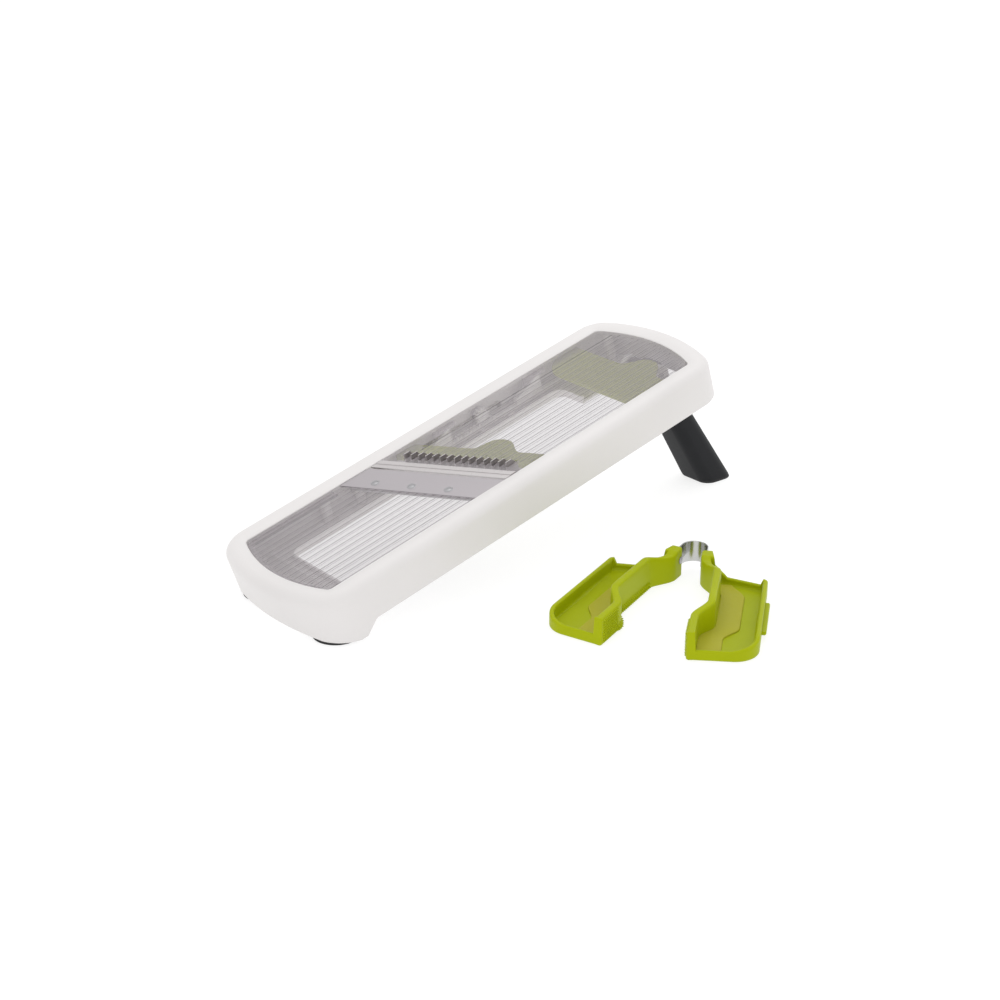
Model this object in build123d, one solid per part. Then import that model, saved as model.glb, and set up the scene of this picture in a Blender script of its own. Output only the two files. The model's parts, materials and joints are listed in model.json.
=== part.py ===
from build123d import *
import os
from math import atan2, cos, pi, radians, sin, tan

# Mandoline slicer with a fold-out leg, a julienne comb, a thickness dial and a two-jaw food grip.
# All sizes are in millimetres.  The slicer is drawn in its own deck frame and then tilted:
#   x across the deck, y along the deck from the low end to the high end, z square to the deck,
#   with y = 0 at the low corners of the deck opening and z = 0 at the opening's top edge.
# The blade and all that lies beyond it keep their distance from the far corners of the opening.
# The grip is drawn in its own frame, flat on the table, and then turned into place.

# ---------------------------------------------------------------- overall sizes
tilt = 14.6                 # slope of the deck when it stands on its leg
deck_height = 40.0          # height of the deck frame's origin above the table
opening_width = 102.0
opening_length = 340.0      # between the corners of the opening
opening_bulge = 11.0        # how far each end of the opening curves outwards
opening_corner = 4.0
rim_width = 16.0            # opening to outer side
end_rim_width = 15.5        # opening to outer end
outer_bulge = 16.0
outer_corner = 24.0
rim_crown = 1.6             # the rim stands this much above the opening's edge
rim_thickness = 3.2
rim_round = 7.0
body_depth = 31.0           # opening edge to the underside
wall = 2.6
side_draft = 3.0            # degrees
near_rake = 10.7            # degrees, the low end wall leans in towards its foot
loft_depth = 50.0           # the outline is given again at this depth, past the toe
loft_start = 6.0
lower_bulge = 6.0           # the ends are nearly straight down there
lower_corner = 22.0

# ---------------------------------------------------------------- toe and feet
toe_clearance = 2.6         # gap between the toe and the table
toe_back = 10.0             # deck y where the toe ends
toe_ramp = 11.0             # length of the slope up to the underside
foot_x = 42.8
foot_y = 10.2               # on the table
foot_radius = 16.2
rubber_radius = 16.6
rubber_thickness = 1.6

# ---------------------------------------------------------------- decks and blade
skew = 24.4                 # degrees, blade edge against the cross direction
throat_y = opening_length - 206.2   # deck y of the cutting edge on the centre line
deck_top = -0.8
deck_thickness = 2.8
deck_clearance = 0.25
flange_reach = 7.0          # how far a deck reaches under the rim
flange_thickness = 1.8
blade_width = 24.5
blade_thickness = 1.0
blade_side_gap = 0.3
blade_bevel = 2.2
ledge_front = 9.0           # the deck's ledge under the blade stops this far from the cutting edge
backing_width = 11.0
backing_front = 10.0
backing_thickness = 1.4
rivet_x = -2.7
rivet_spacing = 27.3        # across the deck
rivet_inset = 7.0           # square to the blade's rear edge
rivet_radius = 1.6
rivet_head_radius = 3.4
rivet_head = 0.5
throat_gap = 1.3
lip_width = 9.0
lip_thickness = 1.1
lip_step = 0.4
lip_proud = 0.2
ramp_top = -0.2
ramp_thickness = 2.6
ramp_clearance = 0.6
ramp_travel = 5.0
slit_x = -37.0
slit_y = opening_length - 188.0
slit_length = 72.0
slit_width = 3.0
slit_end_radius = 2.6

# ---------------------------------------------------------------- julienne comb
comb_teeth = 15
comb_pitch = 5.4
comb_centre_x = 1.5
comb_near = 15.0            # square to the cutting edge
comb_tooth_length = 10.0
comb_tooth_thickness = 0.8
comb_tooth_height = 3.7     # above the ramp when raised
comb_slot_clearance = 0.5
comb_strip_thickness = 1.5
comb_strip_width = 14.0
comb_travel = 9.5
carrier_height = 5.0
carrier_width = 12.0
carrier_half_span = 53.5
guide_size = 5.0
guide_x = 49.5
guide_clearance = 0.4
stem_size = 4.0
stem_y = 19.0               # deck y of the knob's stem past the carrier corner line
knob_size = 12.0
knob_depth = 5.5
comb_screw_x = (-24.0, 1.5, 27.0)

# ---------------------------------------------------------------- lifter slide and dial
lifter_travel = 12.0
lifter_gap = 0.35
small_screw = 1.0           # radius
small_head = 1.7
small_head_height = 1.1
small_head_room = 1.8       # radius of the counterbores for the small heads
lifter_screw_reach = 7.0
plate_top = -8.6
plate_thickness = 2.5
plate_half_span = 58.5
front_plate_near = 30.0     # square to the cutting edge
front_plate_far = 46.5
hump_height = 16.0
hump_half_width = 24.0
front_hump_x = 3.0
rear_plate_near = opening_length - 54.0
rear_plate_far = opening_length - 17.0
rear_hump_x = 12.0
rear_plate_round = 20.0     # its near corner on the dial's side
rail_tab = 16.0             # length of the tab that stands on each rail
rail_inner = 54.5
rail_width = 4.0
rail_top = -23.0
rail_height = 3.6
rail_near = opening_length - 199.0
rail_far = opening_length - 14.0
left_wedges = (opening_length - 177.0, opening_length - 86.0)
right_wedges = (opening_length - 126.0, opening_length - 86.0)
pad_width = 3.0
pad_length = 14.0
wedge_rise = 3.5
dial_y = opening_length - 119.0
dial_radius = 9.2
dial_depth = 5.5
dial_clearance = 0.5
dial_screw_head = 2.0       # radius
shaft_radius = 3.0
gear_module = 1.0
pinion_teeth = 12
rack_teeth = 12
rack_addendum = 0.65        # times the module, short so that the rack clears the pinion's roots
rack_dedendum = 1.25
pressure_angle = 20.0
gear_backlash = 0.2

# ---------------------------------------------------------------- leg
leg_hinge_y = opening_length - 1.0
leg_hinge_z = -20.0
leg_lean = 32.0             # degrees from the vertical when it stands on the table
leg_near_face = 8.0         # hinge line to the leg's inner face
leg_top_depth = 20.0
leg_foot_depth = 26.0
leg_top_width = 27.0
leg_foot_width = 34.0
leg_corner = 9.0
leg_pad_thickness = 2.5
notch_distance = 34.0
notch_height = 2.4
bracket_reach = 34.0
barrel_radius = 7.0
barrel_half_width = 13.5
pin_radius = 2.5
pin_clearance = 0.06
ear_gap = 0.7
ear_thickness = 4.0
leg_slot_half = 20.0
bracket_head = 2.0          # radius of the bracket screws' heads
bracket_screw_reach = 3.6

# ---------------------------------------------------------------- base frame
base_thickness = 2.4
drop_half_width = 46.0      # the opening that slices fall through
drop_near = 28.0
drop_far = opening_length - 50.0
upstand = 4.0
upstand_width = 2.0
drop_corner = 8.0
guide_top = -11.0
fit_gap = 0.2
screw_radius = 1.5
screw_head_radius = 3.0
screw_head = 1.8
boss_radius = 4.0
boss_inset = 1.6
boss_overlap = 0.4          # a boss starts this far inside the rim's thickness
boss_bore = 12.0
front_boss_y = 72.0
boss_setback = 8.0          # from the blade's line to the middle pair of bosses
rear_boss_x = 47.0
rear_boss_y = opening_length + 7.0
rail_rib_places = (opening_length - 120.0, opening_length - 94.0, opening_length - 34.0)
rail_rib_half = 3.0
rail_rib_overhang = 1.5     # past each side of a rail

# ---------------------------------------------------------------- food grip
grip_x = 127.5              # spring centre on the table
grip_y = 265.8
grip_turn = -59.3           # degrees, direction from the spring to the open end
grip_half_angle = 9.4       # each jaw's swing from the middle line
jaw_offset = 7.1            # jaw's gripping face to the spring's centre
jaw_end = 136.0             # spring centre to the open end
jaw_width = 47.5
jaw_wall = 5.4
outer_wall = 2.6
jaw_floor = 2.4
jaw_height = 24.0
outer_height = 12.0
low_height = 8.0
bite_depth = 10.0
knuckle_start = 7.0
knuckle_end = 17.0
knuckle_proud = 1.0
knuckle_depth = 7.0
bite_full = 40.0
bite_end = 90.0
bite_close = 110.0
jaw_back_inner = 16.0
jaw_back_outer = 25.0
jaw_corner = 18.0
tab_start = 54.0
tab_length = 45.0
tab_depth = 3.2
tab_height = 3.0
tab_bottom = 4.0
liner_width = 17.0
liner_thickness = 1.2
liner_gap = 0.1
spring_radius = 9.6
spring_band = 0.8
spring_height = 16.0
spring_bottom = 5.5
spring_leg = 15.0
spring_gap = 0.35
spring_rivet_radius = 1.4
spring_rivet_head = 2.6
rivet_head_height = 0.6

# ---------------------------------------------------------------- derived sizes
half_opening = opening_width / 2
half_outer = half_opening + rim_width
near_end = -(opening_bulge + end_rim_width)
far_end = opening_length + opening_bulge + end_rim_width
slope = tan(radians(skew))
along = 1 / cos(radians(skew))
toe_sin = sin(radians(tilt))
toe_cos = cos(radians(tilt))
strip_top = ramp_top - ramp_thickness - ramp_travel - 0.6
lifter_slope = ramp_travel / lifter_travel
wedge_length = pad_length + lifter_travel
pinion_pitch_radius = gear_module * pinion_teeth / 2
rack_pitch_z = rail_top + rack_dedendum * gear_module
dial_z = rack_pitch_z + pinion_pitch_radius
base_top = -body_depth + base_thickness

slicer_place = Location((0, 0, deck_height), (tilt, 0, 0))
nodes = {}


def deck_lozenge(half_width, near, far, bulge, corner):
    """Face with straight sides and two bowed ends; near and far are the tips of the bows."""
    low = near + bulge
    high = far - bulge
    edges = [
        Line((half_width, low), (half_width, high)),
        ThreePointArc((half_width, high), (0, far), (-half_width, high)),
        Line((-half_width, high), (-half_width, low)),
        ThreePointArc((-half_width, low), (0, near), (half_width, low)),
    ]
    face = make_face(edges)
    return fillet(face.vertices(), corner)


def raised(face, bottom, top):
    """The face made into a solid between two heights."""
    return extrude(Pos(0, 0, bottom) * face, amount=top - bottom, dir=(0, 0, 1))


def block(x0, x1, y0, y1, z0, z1):
    """A box given by its faces."""
    size = (abs(x1 - x0), abs(y1 - y0), abs(z1 - z0))
    return Pos((x0 + x1) / 2, (y0 + y1) / 2, (z0 + z1) / 2) * Box(*size)


def throat(x):
    """Deck y of the cutting edge at x."""
    return throat_y + slope * x


def skew_band(near, far, x0, x1):
    """Parallelogram between two distances square to the cutting edge."""
    corners = [
        (x0, throat(x0) + near * along),
        (x1, throat(x1) + near * along),
        (x1, throat(x1) + far * along),
        (x0, throat(x0) + far * along),
    ]
    return make_face(Polyline(*corners, close=True))


def side_profile(points, x0, x1):
    """A y-z outline made into a solid between two x values."""
    wire = Polyline(*[(x0, y, z) for y, z in points], close=True)
    return extrude(make_face(wire), amount=x1 - x0, dir=(1, 0, 0))


def rod(x, y, z0, z1, radius):
    """Round bar along z."""
    return Pos(x, y, (z0 + z1) / 2) * Cylinder(radius, z1 - z0)


def cross_rod(x0, x1, y, z, radius):
    """Round bar along x."""
    return Pos((x0 + x1) / 2, y, z) * Rot(0, 90, 0) * Cylinder(radius, abs(x1 - x0))


def table_z(y, height):
    """Deck z of the plane that lies this high above the table, at deck y."""
    return (height - deck_height - y * toe_sin) / toe_cos


# ================================================================ housing
def housing_block(inset, top):
    """Outer form of the housing, shrunk by inset, from top down past the toe."""
    fall = loft_depth - loft_start
    side = half_outer - inset
    lower_side = side - fall * tan(radians(side_draft))
    lower_near = near_end + fall * tan(radians(near_rake))
    lower_far = far_end - fall * tan(radians(side_draft))
    upper = deck_lozenge(
        side, near_end + inset, far_end - inset, outer_bulge, outer_corner - inset
    )
    lower = deck_lozenge(
        lower_side, lower_near + inset, lower_far - inset, lower_bulge, lower_corner - inset
    )
    skirt = loft([Pos(0, 0, -loft_start) * upper, Pos(0, 0, -loft_depth) * lower], ruled=True)
    return skirt, raised(upper, -loft_start, top)


def underside(raise_by):
    """Everything below the body: flat underside, sloped step and level toe."""
    floor = -body_depth + raise_by
    step = toe_back + toe_ramp
    level = toe_clearance + raise_by
    far = far_end + 20
    low = -3 * loft_depth
    near = near_end - 40
    outline = [
        (far, floor),
        (step, floor),
        (toe_back, table_z(toe_back, level)),
        (near, table_z(near, level)),
        (near, low),
        (far, low),
    ]
    reach = 2 * half_outer
    return side_profile(outline, -reach, reach)


opening = deck_lozenge(
    half_opening, -opening_bulge, opening_length + opening_bulge, opening_bulge, opening_corner
)
skirt, cap = housing_block(0, rim_crown)
cap = fillet(cap.faces().sort_by(Axis.Z)[-1].outer_wire().edges(), rim_round)
inner_skirt, inner_cap = housing_block(wall, -rim_thickness)
housing = cap + skirt - underside(0) - inner_skirt - inner_cap
housing -= raised(opening, -rim_thickness - 1, rim_crown + 1)

# screw bosses hang from the rim, clear of the slide and the decks
boss_side = half_outer - wall - boss_radius - boss_inset
base_screw_places = [
    (-boss_side, front_boss_y),
    (boss_side, front_boss_y),
    (-boss_side, throat(-half_opening) - boss_setback),
    (boss_side, throat(half_opening) - boss_setback),
    (-rear_boss_x, rear_boss_y),
    (rear_boss_x, rear_boss_y),
]
for bx, by in base_screw_places:
    housing += rod(bx, by, base_top, -rim_thickness + boss_overlap, boss_radius)
    housing -= rod(bx, by, base_top - 1, base_top + boss_bore, screw_radius)

# shaft hole for the dial and slot for the comb knob, both in the left wall
wall_x = -half_outer
knob_y = throat(-carrier_half_span) + stem_y
stem_z = strip_top - comb_strip_thickness - carrier_height / 2
housing -= cross_rod(wall_x - 4, wall_x + 8, dial_y, dial_z, shaft_radius + pin_clearance)
slot_half = stem_size / 2 + guide_clearance
housing -= block(
    wall_x - 4, wall_x + 8,
    knob_y - slot_half, knob_y + slot_half,
    stem_z - slot_half - comb_travel, stem_z + slot_half,
)
nodes["housing"] = housing

# ================================================================ base frame
base_outer, _ = housing_block(wall + fit_gap, 0)
base_frame = (base_outer - underside(0)) & underside(base_thickness)
drop_face = make_face(Polyline(
    (-drop_half_width, drop_near),
    (drop_half_width, drop_near),
    (drop_half_width, drop_far),
    (-drop_half_width, drop_far),
    close=True,
))
drop_face = fillet(drop_face.vertices(), drop_corner)
base_frame += raised(offset(drop_face, amount=upstand_width), base_top, base_top + upstand)
base_frame -= raised(drop_face, -body_depth - 1, 0)
base_frame -= block(
    -leg_slot_half, leg_slot_half, drop_far - 10, far_end, -body_depth - 1, 0
)

# posts that guide the comb carrier, and ribs under the slide rails
comb_middle = comb_near + comb_tooth_length / 2 / along
for side in (-1, 1):
    gx = side * guide_x
    gy = throat(gx) + comb_middle * along
    half = guide_size / 2
    base_frame += block(gx - half, gx + half, gy - half, gy + half, base_top, guide_top)
rail_floor = rail_top - rail_height - lifter_gap
for side in (-1, 1):
    inner = side * (rail_inner - rail_rib_overhang)
    outer = side * (rail_inner + rail_width + rail_rib_overhang)
    for ry in rail_rib_places:
        base_frame += block(
            inner, outer, ry - rail_rib_half, ry + rail_rib_half, base_top - 0.5, rail_floor
        )
for bx, by in base_screw_places:
    base_frame -= rod(bx, by, -body_depth - 1, base_top + 1, screw_radius + 0.2)
    base_frame -= rod(bx, by, -body_depth - 1, -body_depth + screw_head, screw_head_radius + 0.3)
nodes["base_frame"] = base_frame


def screw(x, y, head_bottom, reach, radius, head_radius, head_height):
    """Pan-head screw driven upwards, with a cross recess in its head."""
    solid = rod(x, y, head_bottom, head_bottom + head_height, head_radius)
    solid += rod(x, y, head_bottom + head_height, head_bottom + head_height + reach, radius)
    slot = head_radius * 0.6
    deep = head_height * 0.5
    solid -= block(x - slot, x + slot, y - 0.4, y + 0.4, head_bottom, head_bottom + deep)
    solid -= block(x - 0.4, x + 0.4, y - slot, y + slot, head_bottom, head_bottom + deep)
    return solid


base_screws = [
    screw(bx, by, -body_depth + 0.3, 9.0, screw_radius - 0.02, screw_head_radius, screw_head - 0.3)
    for bx, by in base_screw_places
]
nodes["base_screws"] = base_screws

# ================================================================ decks
deck_face = deck_lozenge(
    half_opening - deck_clearance,
    -opening_bulge + deck_clearance,
    opening_length + opening_bulge - deck_clearance,
    opening_bulge,
    opening_corner - deck_clearance,
)
reach_face = deck_lozenge(
    half_opening + flange_reach,
    -opening_bulge - flange_reach,
    opening_length + opening_bulge + flange_reach,
    opening_bulge,
    opening_corner + flange_reach,
)
wide = 2 * half_outer
flange_top = -rim_thickness - fit_gap
blade_bottom = deck_top - blade_thickness
outfeed_deck = raised(deck_face, deck_top - deck_thickness, deck_top)
outfeed_deck += raised(reach_face, flange_top - flange_thickness, flange_top)
outfeed_deck &= raised(skew_band(-600, -ledge_front, -wide, wide), -loft_depth, 10)
outfeed_deck -= raised(skew_band(-blade_width - fit_gap, 50, -wide, wide), blade_bottom, 10)
for bx, by in base_screw_places:
    outfeed_deck -= rod(bx, by, -loft_depth, 0, boss_radius + 0.4)
flange_bottom = flange_top - flange_thickness
backing_span = half_opening - 4
blade_backing = raised(
    skew_band(-backing_front - backing_width, -backing_front, -backing_span, backing_span),
    flange_bottom - backing_thickness, flange_bottom,
)
main_blade = raised(
    skew_band(-blade_width, 0, -half_opening + blade_side_gap, half_opening - blade_side_gap),
    blade_bottom, deck_top,
)
blade_edges = main_blade.edges().filter_by(lambda e: abs(e.center().Z - blade_bottom) < 0.01)
front_edge = blade_edges.sort_by(lambda e: e.center().Y - slope * e.center().X)[-1]
main_blade = chamfer([front_edge], length=blade_thickness * 0.9, length2=blade_bevel)

rivet_line = -blade_width + rivet_inset
rivet_places = [
    (x, throat(x) + rivet_line * along)
    for x in (rivet_x - rivet_spacing, rivet_x, rivet_x + rivet_spacing)
]
rivet_hole = rivet_radius + 0.05
rivet_bottom = flange_bottom - backing_thickness
blade_rivets = []
for rx, ry in rivet_places:
    hole = rod(rx, ry, -loft_depth, 10, rivet_hole)
    main_blade -= hole
    outfeed_deck -= hole
    blade_backing -= hole
    rivet = rod(rx, ry, rivet_bottom - rivet_head, deck_top + rivet_head, rivet_radius)
    rivet += rod(rx, ry, deck_top, deck_top + rivet_head, rivet_head_radius)
    rivet += rod(rx, ry, rivet_bottom - rivet_head, rivet_bottom, rivet_head_radius - 0.6)
    blade_rivets.append(rivet)
nodes["outfeed_deck"] = outfeed_deck
nodes["blade_backing"] = blade_backing
nodes["main_blade"] = main_blade
nodes["blade_rivets"] = blade_rivets

# ================================================================ infeed ramp
ramp_inset = ramp_clearance
ramp_face = deck_lozenge(
    half_opening - ramp_inset,
    -opening_bulge + ramp_inset,
    opening_length + opening_bulge - ramp_inset,
    opening_bulge,
    opening_corner - ramp_inset,
)
ramp_bottom = ramp_top - ramp_thickness
arm_top = -rim_thickness - fit_gap - 0.2
arm_bottom = arm_top - flange_thickness
ramp_zone = skew_band(throat_gap, 800, -wide, wide)
infeed_ramp = raised(ramp_face, ramp_bottom, ramp_top) & raised(ramp_zone, -loft_depth, 10)
arm_inner = half_opening - 3.6
arm_setback = 1.2           # clears the front plate when the ramp is down
arm_overrun = 1.5
arm_outer = rail_inner + rail_width - 0.3
bead = half_opening - ramp_inset
wedge_starts = {-1: left_wedges, 1: right_wedges}
wedge_low = rail_top + wedge_rise


def wedge_line(y, start):
    """Height of a lifter wedge's sloping top at y."""
    return wedge_low + lifter_slope * (y - start)


for side in (-1, 1):
    for start in wedge_starts[side]:
        y0 = start + lifter_travel
        y1 = start + wedge_length
        near = y0 + arm_setback
        far = y1 + arm_overrun
        infeed_ramp += block(side * arm_inner, side * bead, near, far, arm_bottom, ramp_bottom)
        infeed_ramp += block(side * arm_inner, side * arm_outer, near, far, arm_bottom, arm_top)
        gap = lifter_gap / cos(atan2(lifter_slope, 1))
        outline = [
            (y0, wedge_line(y0, start) + gap),
            (y1, wedge_line(y1, start) + gap),
            (y1, arm_bottom),
            (y0, arm_bottom),
        ]
        x0, x1 = sorted((side * (arm_outer - pad_width), side * arm_outer))
        infeed_ramp += side_profile(outline, x0, x1)

tooth_x = [comb_centre_x + (k - (comb_teeth - 1) / 2) * comb_pitch for k in range(comb_teeth)]
slot_width = comb_tooth_thickness + 2 * comb_slot_clearance
for tx in tooth_x:
    y0 = throat(tx) + comb_near * along - comb_slot_clearance
    y1 = y0 + comb_tooth_length + 2 * comb_slot_clearance
    infeed_ramp -= block(tx - slot_width / 2, tx + slot_width / 2, y0, y1, -loft_depth, 10)
slit_end = slit_y + slit_length
infeed_ramp -= block(
    slit_x - slit_width / 2, slit_x + slit_width / 2, slit_y, slit_end, -loft_depth, 10
)
infeed_ramp -= rod(slit_x, slit_end, -loft_depth, 10, slit_end_radius)

# stainless lip along the ramp's throat edge, with one step
lip_half = half_opening - ramp_inset - 0.2
lip_zone = skew_band(throat_gap, throat_gap + lip_width, -lip_half, lip_half)
ramp_lip = raised(lip_zone, ramp_top - lip_thickness, ramp_top + lip_proud)
ramp_lip -= raised(
    skew_band(0, throat_gap + lip_width / 2, -wide, wide), ramp_top + lip_proud - lip_step, 10
)
infeed_ramp -= raised(
    skew_band(-20, throat_gap + lip_width + 0.1, -wide, wide), ramp_top - lip_thickness, 10
)
nodes["infeed_ramp"] = infeed_ramp
nodes["ramp_lip"] = ramp_lip

# ================================================================ julienne comb
strip_bottom = strip_top - comb_strip_thickness
carrier_bottom = strip_bottom - carrier_height
strip_near = comb_near - 2.0
comb_tip = ramp_top + comb_tooth_height
strip_x0 = tooth_x[0] - 4
strip_x1 = tooth_x[-1] + 4
julienne_comb = raised(
    skew_band(strip_near, strip_near + comb_strip_width, strip_x0, strip_x1),
    strip_bottom, strip_top,
)
for tx in tooth_x:
    y0 = throat(tx) + comb_near * along
    y1 = y0 + comb_tooth_length
    outline = [
        (y0, strip_bottom + 0.2),
        (y1, strip_bottom + 0.2),
        (y1, ramp_bottom),
        (y1 - comb_tooth_length * 0.45, comb_tip),
        (y0, comb_tip),
    ]
    half = comb_tooth_thickness / 2
    julienne_comb += side_profile(outline, tx - half, tx + half)

carrier_near = comb_near - 1.0
comb_carrier = raised(
    skew_band(carrier_near, carrier_near + carrier_width, -carrier_half_span, carrier_half_span),
    carrier_bottom, strip_bottom,
)
stem_half = stem_size / 2
knob_outer = -(half_outer + fit_gap)
comb_carrier += block(
    -carrier_half_span + 3, knob_outer - knob_depth * 0.6,
    knob_y - stem_half, knob_y + stem_half, stem_z - stem_half, stem_z + stem_half,
)
fork = guide_size / 2 + guide_clearance
for side in (-1, 1):
    gx = side * guide_x
    gy = throat(gx) + comb_middle * along
    comb_carrier -= block(
        gx - fork, gx + fork, gy - fork, gy + fork, carrier_bottom - 1, strip_bottom + 1
    )
half = knob_size / 2
comb_knob = block(
    knob_outer, knob_outer - knob_depth, knob_y - half, knob_y + half, stem_z - half, stem_z + half
)
comb_knob = fillet(comb_knob.faces().sort_by(Axis.X)[0].edges(), 1.6)
for k in (-1, 0, 1):
    rib_z = stem_z + k * 3.0
    comb_knob -= block(
        knob_outer - knob_depth - 1, knob_outer - knob_depth + 0.7,
        knob_y - half, knob_y + half, rib_z - 0.5, rib_z + 0.5,
    )
comb_knob -= block(
    knob_outer + 1, knob_outer - knob_depth * 0.6,
    knob_y - stem_half, knob_y + stem_half, stem_z - stem_half, stem_z + stem_half,
)
comb_screws = []
for sx in comb_screw_x:
    sy = throat(sx) + comb_middle * along
    hole = rod(sx, sy, carrier_bottom - 1, strip_top + 1, screw_radius)
    comb_carrier -= hole
    comb_screws.append(
        screw(sx, sy, carrier_bottom - screw_head, carrier_height, screw_radius - 0.02,
              screw_head_radius, screw_head)
    )
nodes["julienne_comb"] = julienne_comb
nodes["comb_carrier"] = comb_carrier
nodes["comb_knob"] = comb_knob
nodes["comb_screws"] = comb_screws

# ================================================================ lifter slide
plate_bottom = plate_top - plate_thickness


def hump(x, base_y, half_width, height):
    """Rounded hump standing on a plate's far edge."""
    edges = [
        Bezier(
            (x - half_width, base_y), (x - half_width * 0.45, base_y),
            (x - half_width * 0.6, base_y + height), (x, base_y + height),
        ),
        Bezier(
            (x, base_y + height), (x + half_width * 0.6, base_y + height),
            (x + half_width * 0.45, base_y), (x + half_width, base_y),
        ),
        Polyline(
            (x + half_width, base_y), (x + half_width, base_y - 10),
            (x - half_width, base_y - 10), (x - half_width, base_y),
        ),
    ]
    return make_face(edges)


front_face = skew_band(front_plate_near, front_plate_far, -plate_half_span, plate_half_span)
front_hump_y = throat(front_hump_x) + front_plate_far * along
turned_hump = hump(0, -1, hump_half_width, hump_height)
turned_hump = Pos(front_hump_x, front_hump_y, 0) * Rot(0, 0, skew) * turned_hump
front_lifter = raised(front_face + turned_hump, plate_bottom, plate_top)
rear_face = make_face(Polyline(
    (-plate_half_span, rear_plate_near),
    (plate_half_span, rear_plate_near),
    (plate_half_span, rear_plate_far),
    (-plate_half_span, rear_plate_far),
    close=True,
))
rear_corner = rear_face.vertices().sort_by(lambda v: v.X + v.Y)[0]
rear_face = fillet([rear_corner], rear_plate_round)
rear_face = rear_face + hump(rear_hump_x, rear_plate_far, hump_half_width, hump_height)
rear_lifter = raised(rear_face, plate_bottom, plate_top)
rail_starts = {-1: rail_near, 1: throat(plate_half_span) + front_plate_near * along - 2}
tab_zone = raised(front_face, rail_top, plate_top)
rear_tabs = {-1: rear_plate_far - rail_tab, 1: rear_plate_near}
for side in (-1, 1):
    x0, x1 = sorted((side * rail_inner, side * plate_half_span))
    tab = rear_tabs[side]
    front_lifter += tab_zone & block(x0, x1, 0, far_end, rail_top, plate_top)
    rear_lifter += block(x0, x1, tab, tab + rail_tab, rail_top, plate_bottom)
rails = {}
for side in (-1, 1):
    x0, x1 = sorted((side * rail_inner, side * (rail_inner + rail_width)))
    rail = block(x0, x1, rail_starts[side], rail_far, rail_top - rail_height, rail_top)
    for start in wedge_starts[side]:
        end = start + wedge_length
        outline = [
            (start, rail_top - 0.5),
            (end, rail_top - 0.5),
            (end, wedge_line(end, start)),
            (start, wedge_line(start, start)),
        ]
        rail += side_profile(outline, x0, x1)
    rails[side] = rail

# rack teeth on the left rail; a tooth space sits under the pinion at rest
pitch = pi * gear_module
flank = tan(radians(pressure_angle))
rack_bottom = rack_pitch_z - rack_dedendum * gear_module
rack_tip = rack_pitch_z + rack_addendum * gear_module
half_pitch = pitch / 4 - gear_backlash / 2
half_tip = half_pitch - rack_addendum * gear_module * flank
half_root = half_pitch + rack_dedendum * gear_module * flank
first_tooth = dial_y - 2.5 * pitch - (rack_teeth - 6) * pitch
for k in range(rack_teeth):
    ty = first_tooth + k * pitch
    outline = [
        (ty - half_root, rack_bottom - 0.3),
        (ty + half_root, rack_bottom - 0.3),
        (ty + half_root, rack_bottom),
        (ty + half_tip, rack_tip),
        (ty - half_tip, rack_tip),
        (ty - half_root, rack_bottom),
    ]
    rails[-1] += side_profile(outline, -rail_inner - rail_width, -rail_inner)

lifter_screw_places = [
    (-rail_inner - rail_width / 2, throat(-rail_inner) + (front_plate_near + 7) * along),
    (rail_inner + rail_width / 2, throat(rail_inner) + (front_plate_near + 9) * along),
    (-rail_inner - rail_width / 2, rear_tabs[-1] + rail_tab / 2),
    (rail_inner + rail_width / 2, rear_tabs[1] + rail_tab / 2),
]
lifter_screws = []
for lx, ly in lifter_screw_places:
    hole = rod(lx, ly, rail_top - rail_height - 1, rail_top + 6, small_screw + 0.02)
    rails[-1] -= hole
    rails[1] -= hole
    front_lifter -= hole
    rear_lifter -= hole
    rail_bottom = rail_top - rail_height
    head_room = rod(lx, ly, rail_bottom - 1, rail_bottom + small_head_height + 0.1, small_head_room)
    rails[-1] -= head_room
    rails[1] -= head_room
    lifter_screws.append(
        screw(lx, ly, rail_bottom + 0.1, lifter_screw_reach, small_screw, small_head, small_head_height)
    )
nodes["front_lifter"] = front_lifter
nodes["rear_lifter"] = rear_lifter
nodes["lifter_rail_left"] = rails[-1]
nodes["lifter_rail_right"] = rails[1]
nodes["lifter_screws"] = lifter_screws

# ================================================================ thickness dial
pinion_near = -rail_inner - 0.3
pinion_far = -rail_inner - rail_width + 0.3
base_radius = pinion_pitch_radius * cos(radians(pressure_angle))
tip_radius = pinion_pitch_radius + 0.8 * gear_module
root_radius = pinion_pitch_radius - 1.15 * gear_module
flank_angle = tan(radians(pressure_angle)) - radians(pressure_angle)
tooth_half_angle = (pitch / 4 - gear_backlash / 2) / pinion_pitch_radius


def involute_half_angle(radius):
    """Half the angle that a pinion tooth fills at this radius."""
    if radius <= base_radius:
        return tooth_half_angle + flank_angle
    spread = ((radius / base_radius) ** 2 - 1) ** 0.5
    return tooth_half_angle + flank_angle - (spread - atan2(spread, 1))


def pinion_outline():
    """Points of the pinion's outline in the y-z plane, one tooth pointing straight down."""
    flank_radii = [root_radius, base_radius, pinion_pitch_radius, tip_radius]
    points = []
    for k in range(pinion_teeth):
        middle = -pi / 2 + k * 2 * pi / pinion_teeth
        rising = [(r, middle - involute_half_angle(r)) for r in flank_radii]
        falling = [(r, middle + involute_half_angle(r)) for r in reversed(flank_radii)]
        points += rising + falling
    return [(dial_y + r * cos(a), dial_z + r * sin(a)) for r, a in points]


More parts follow.
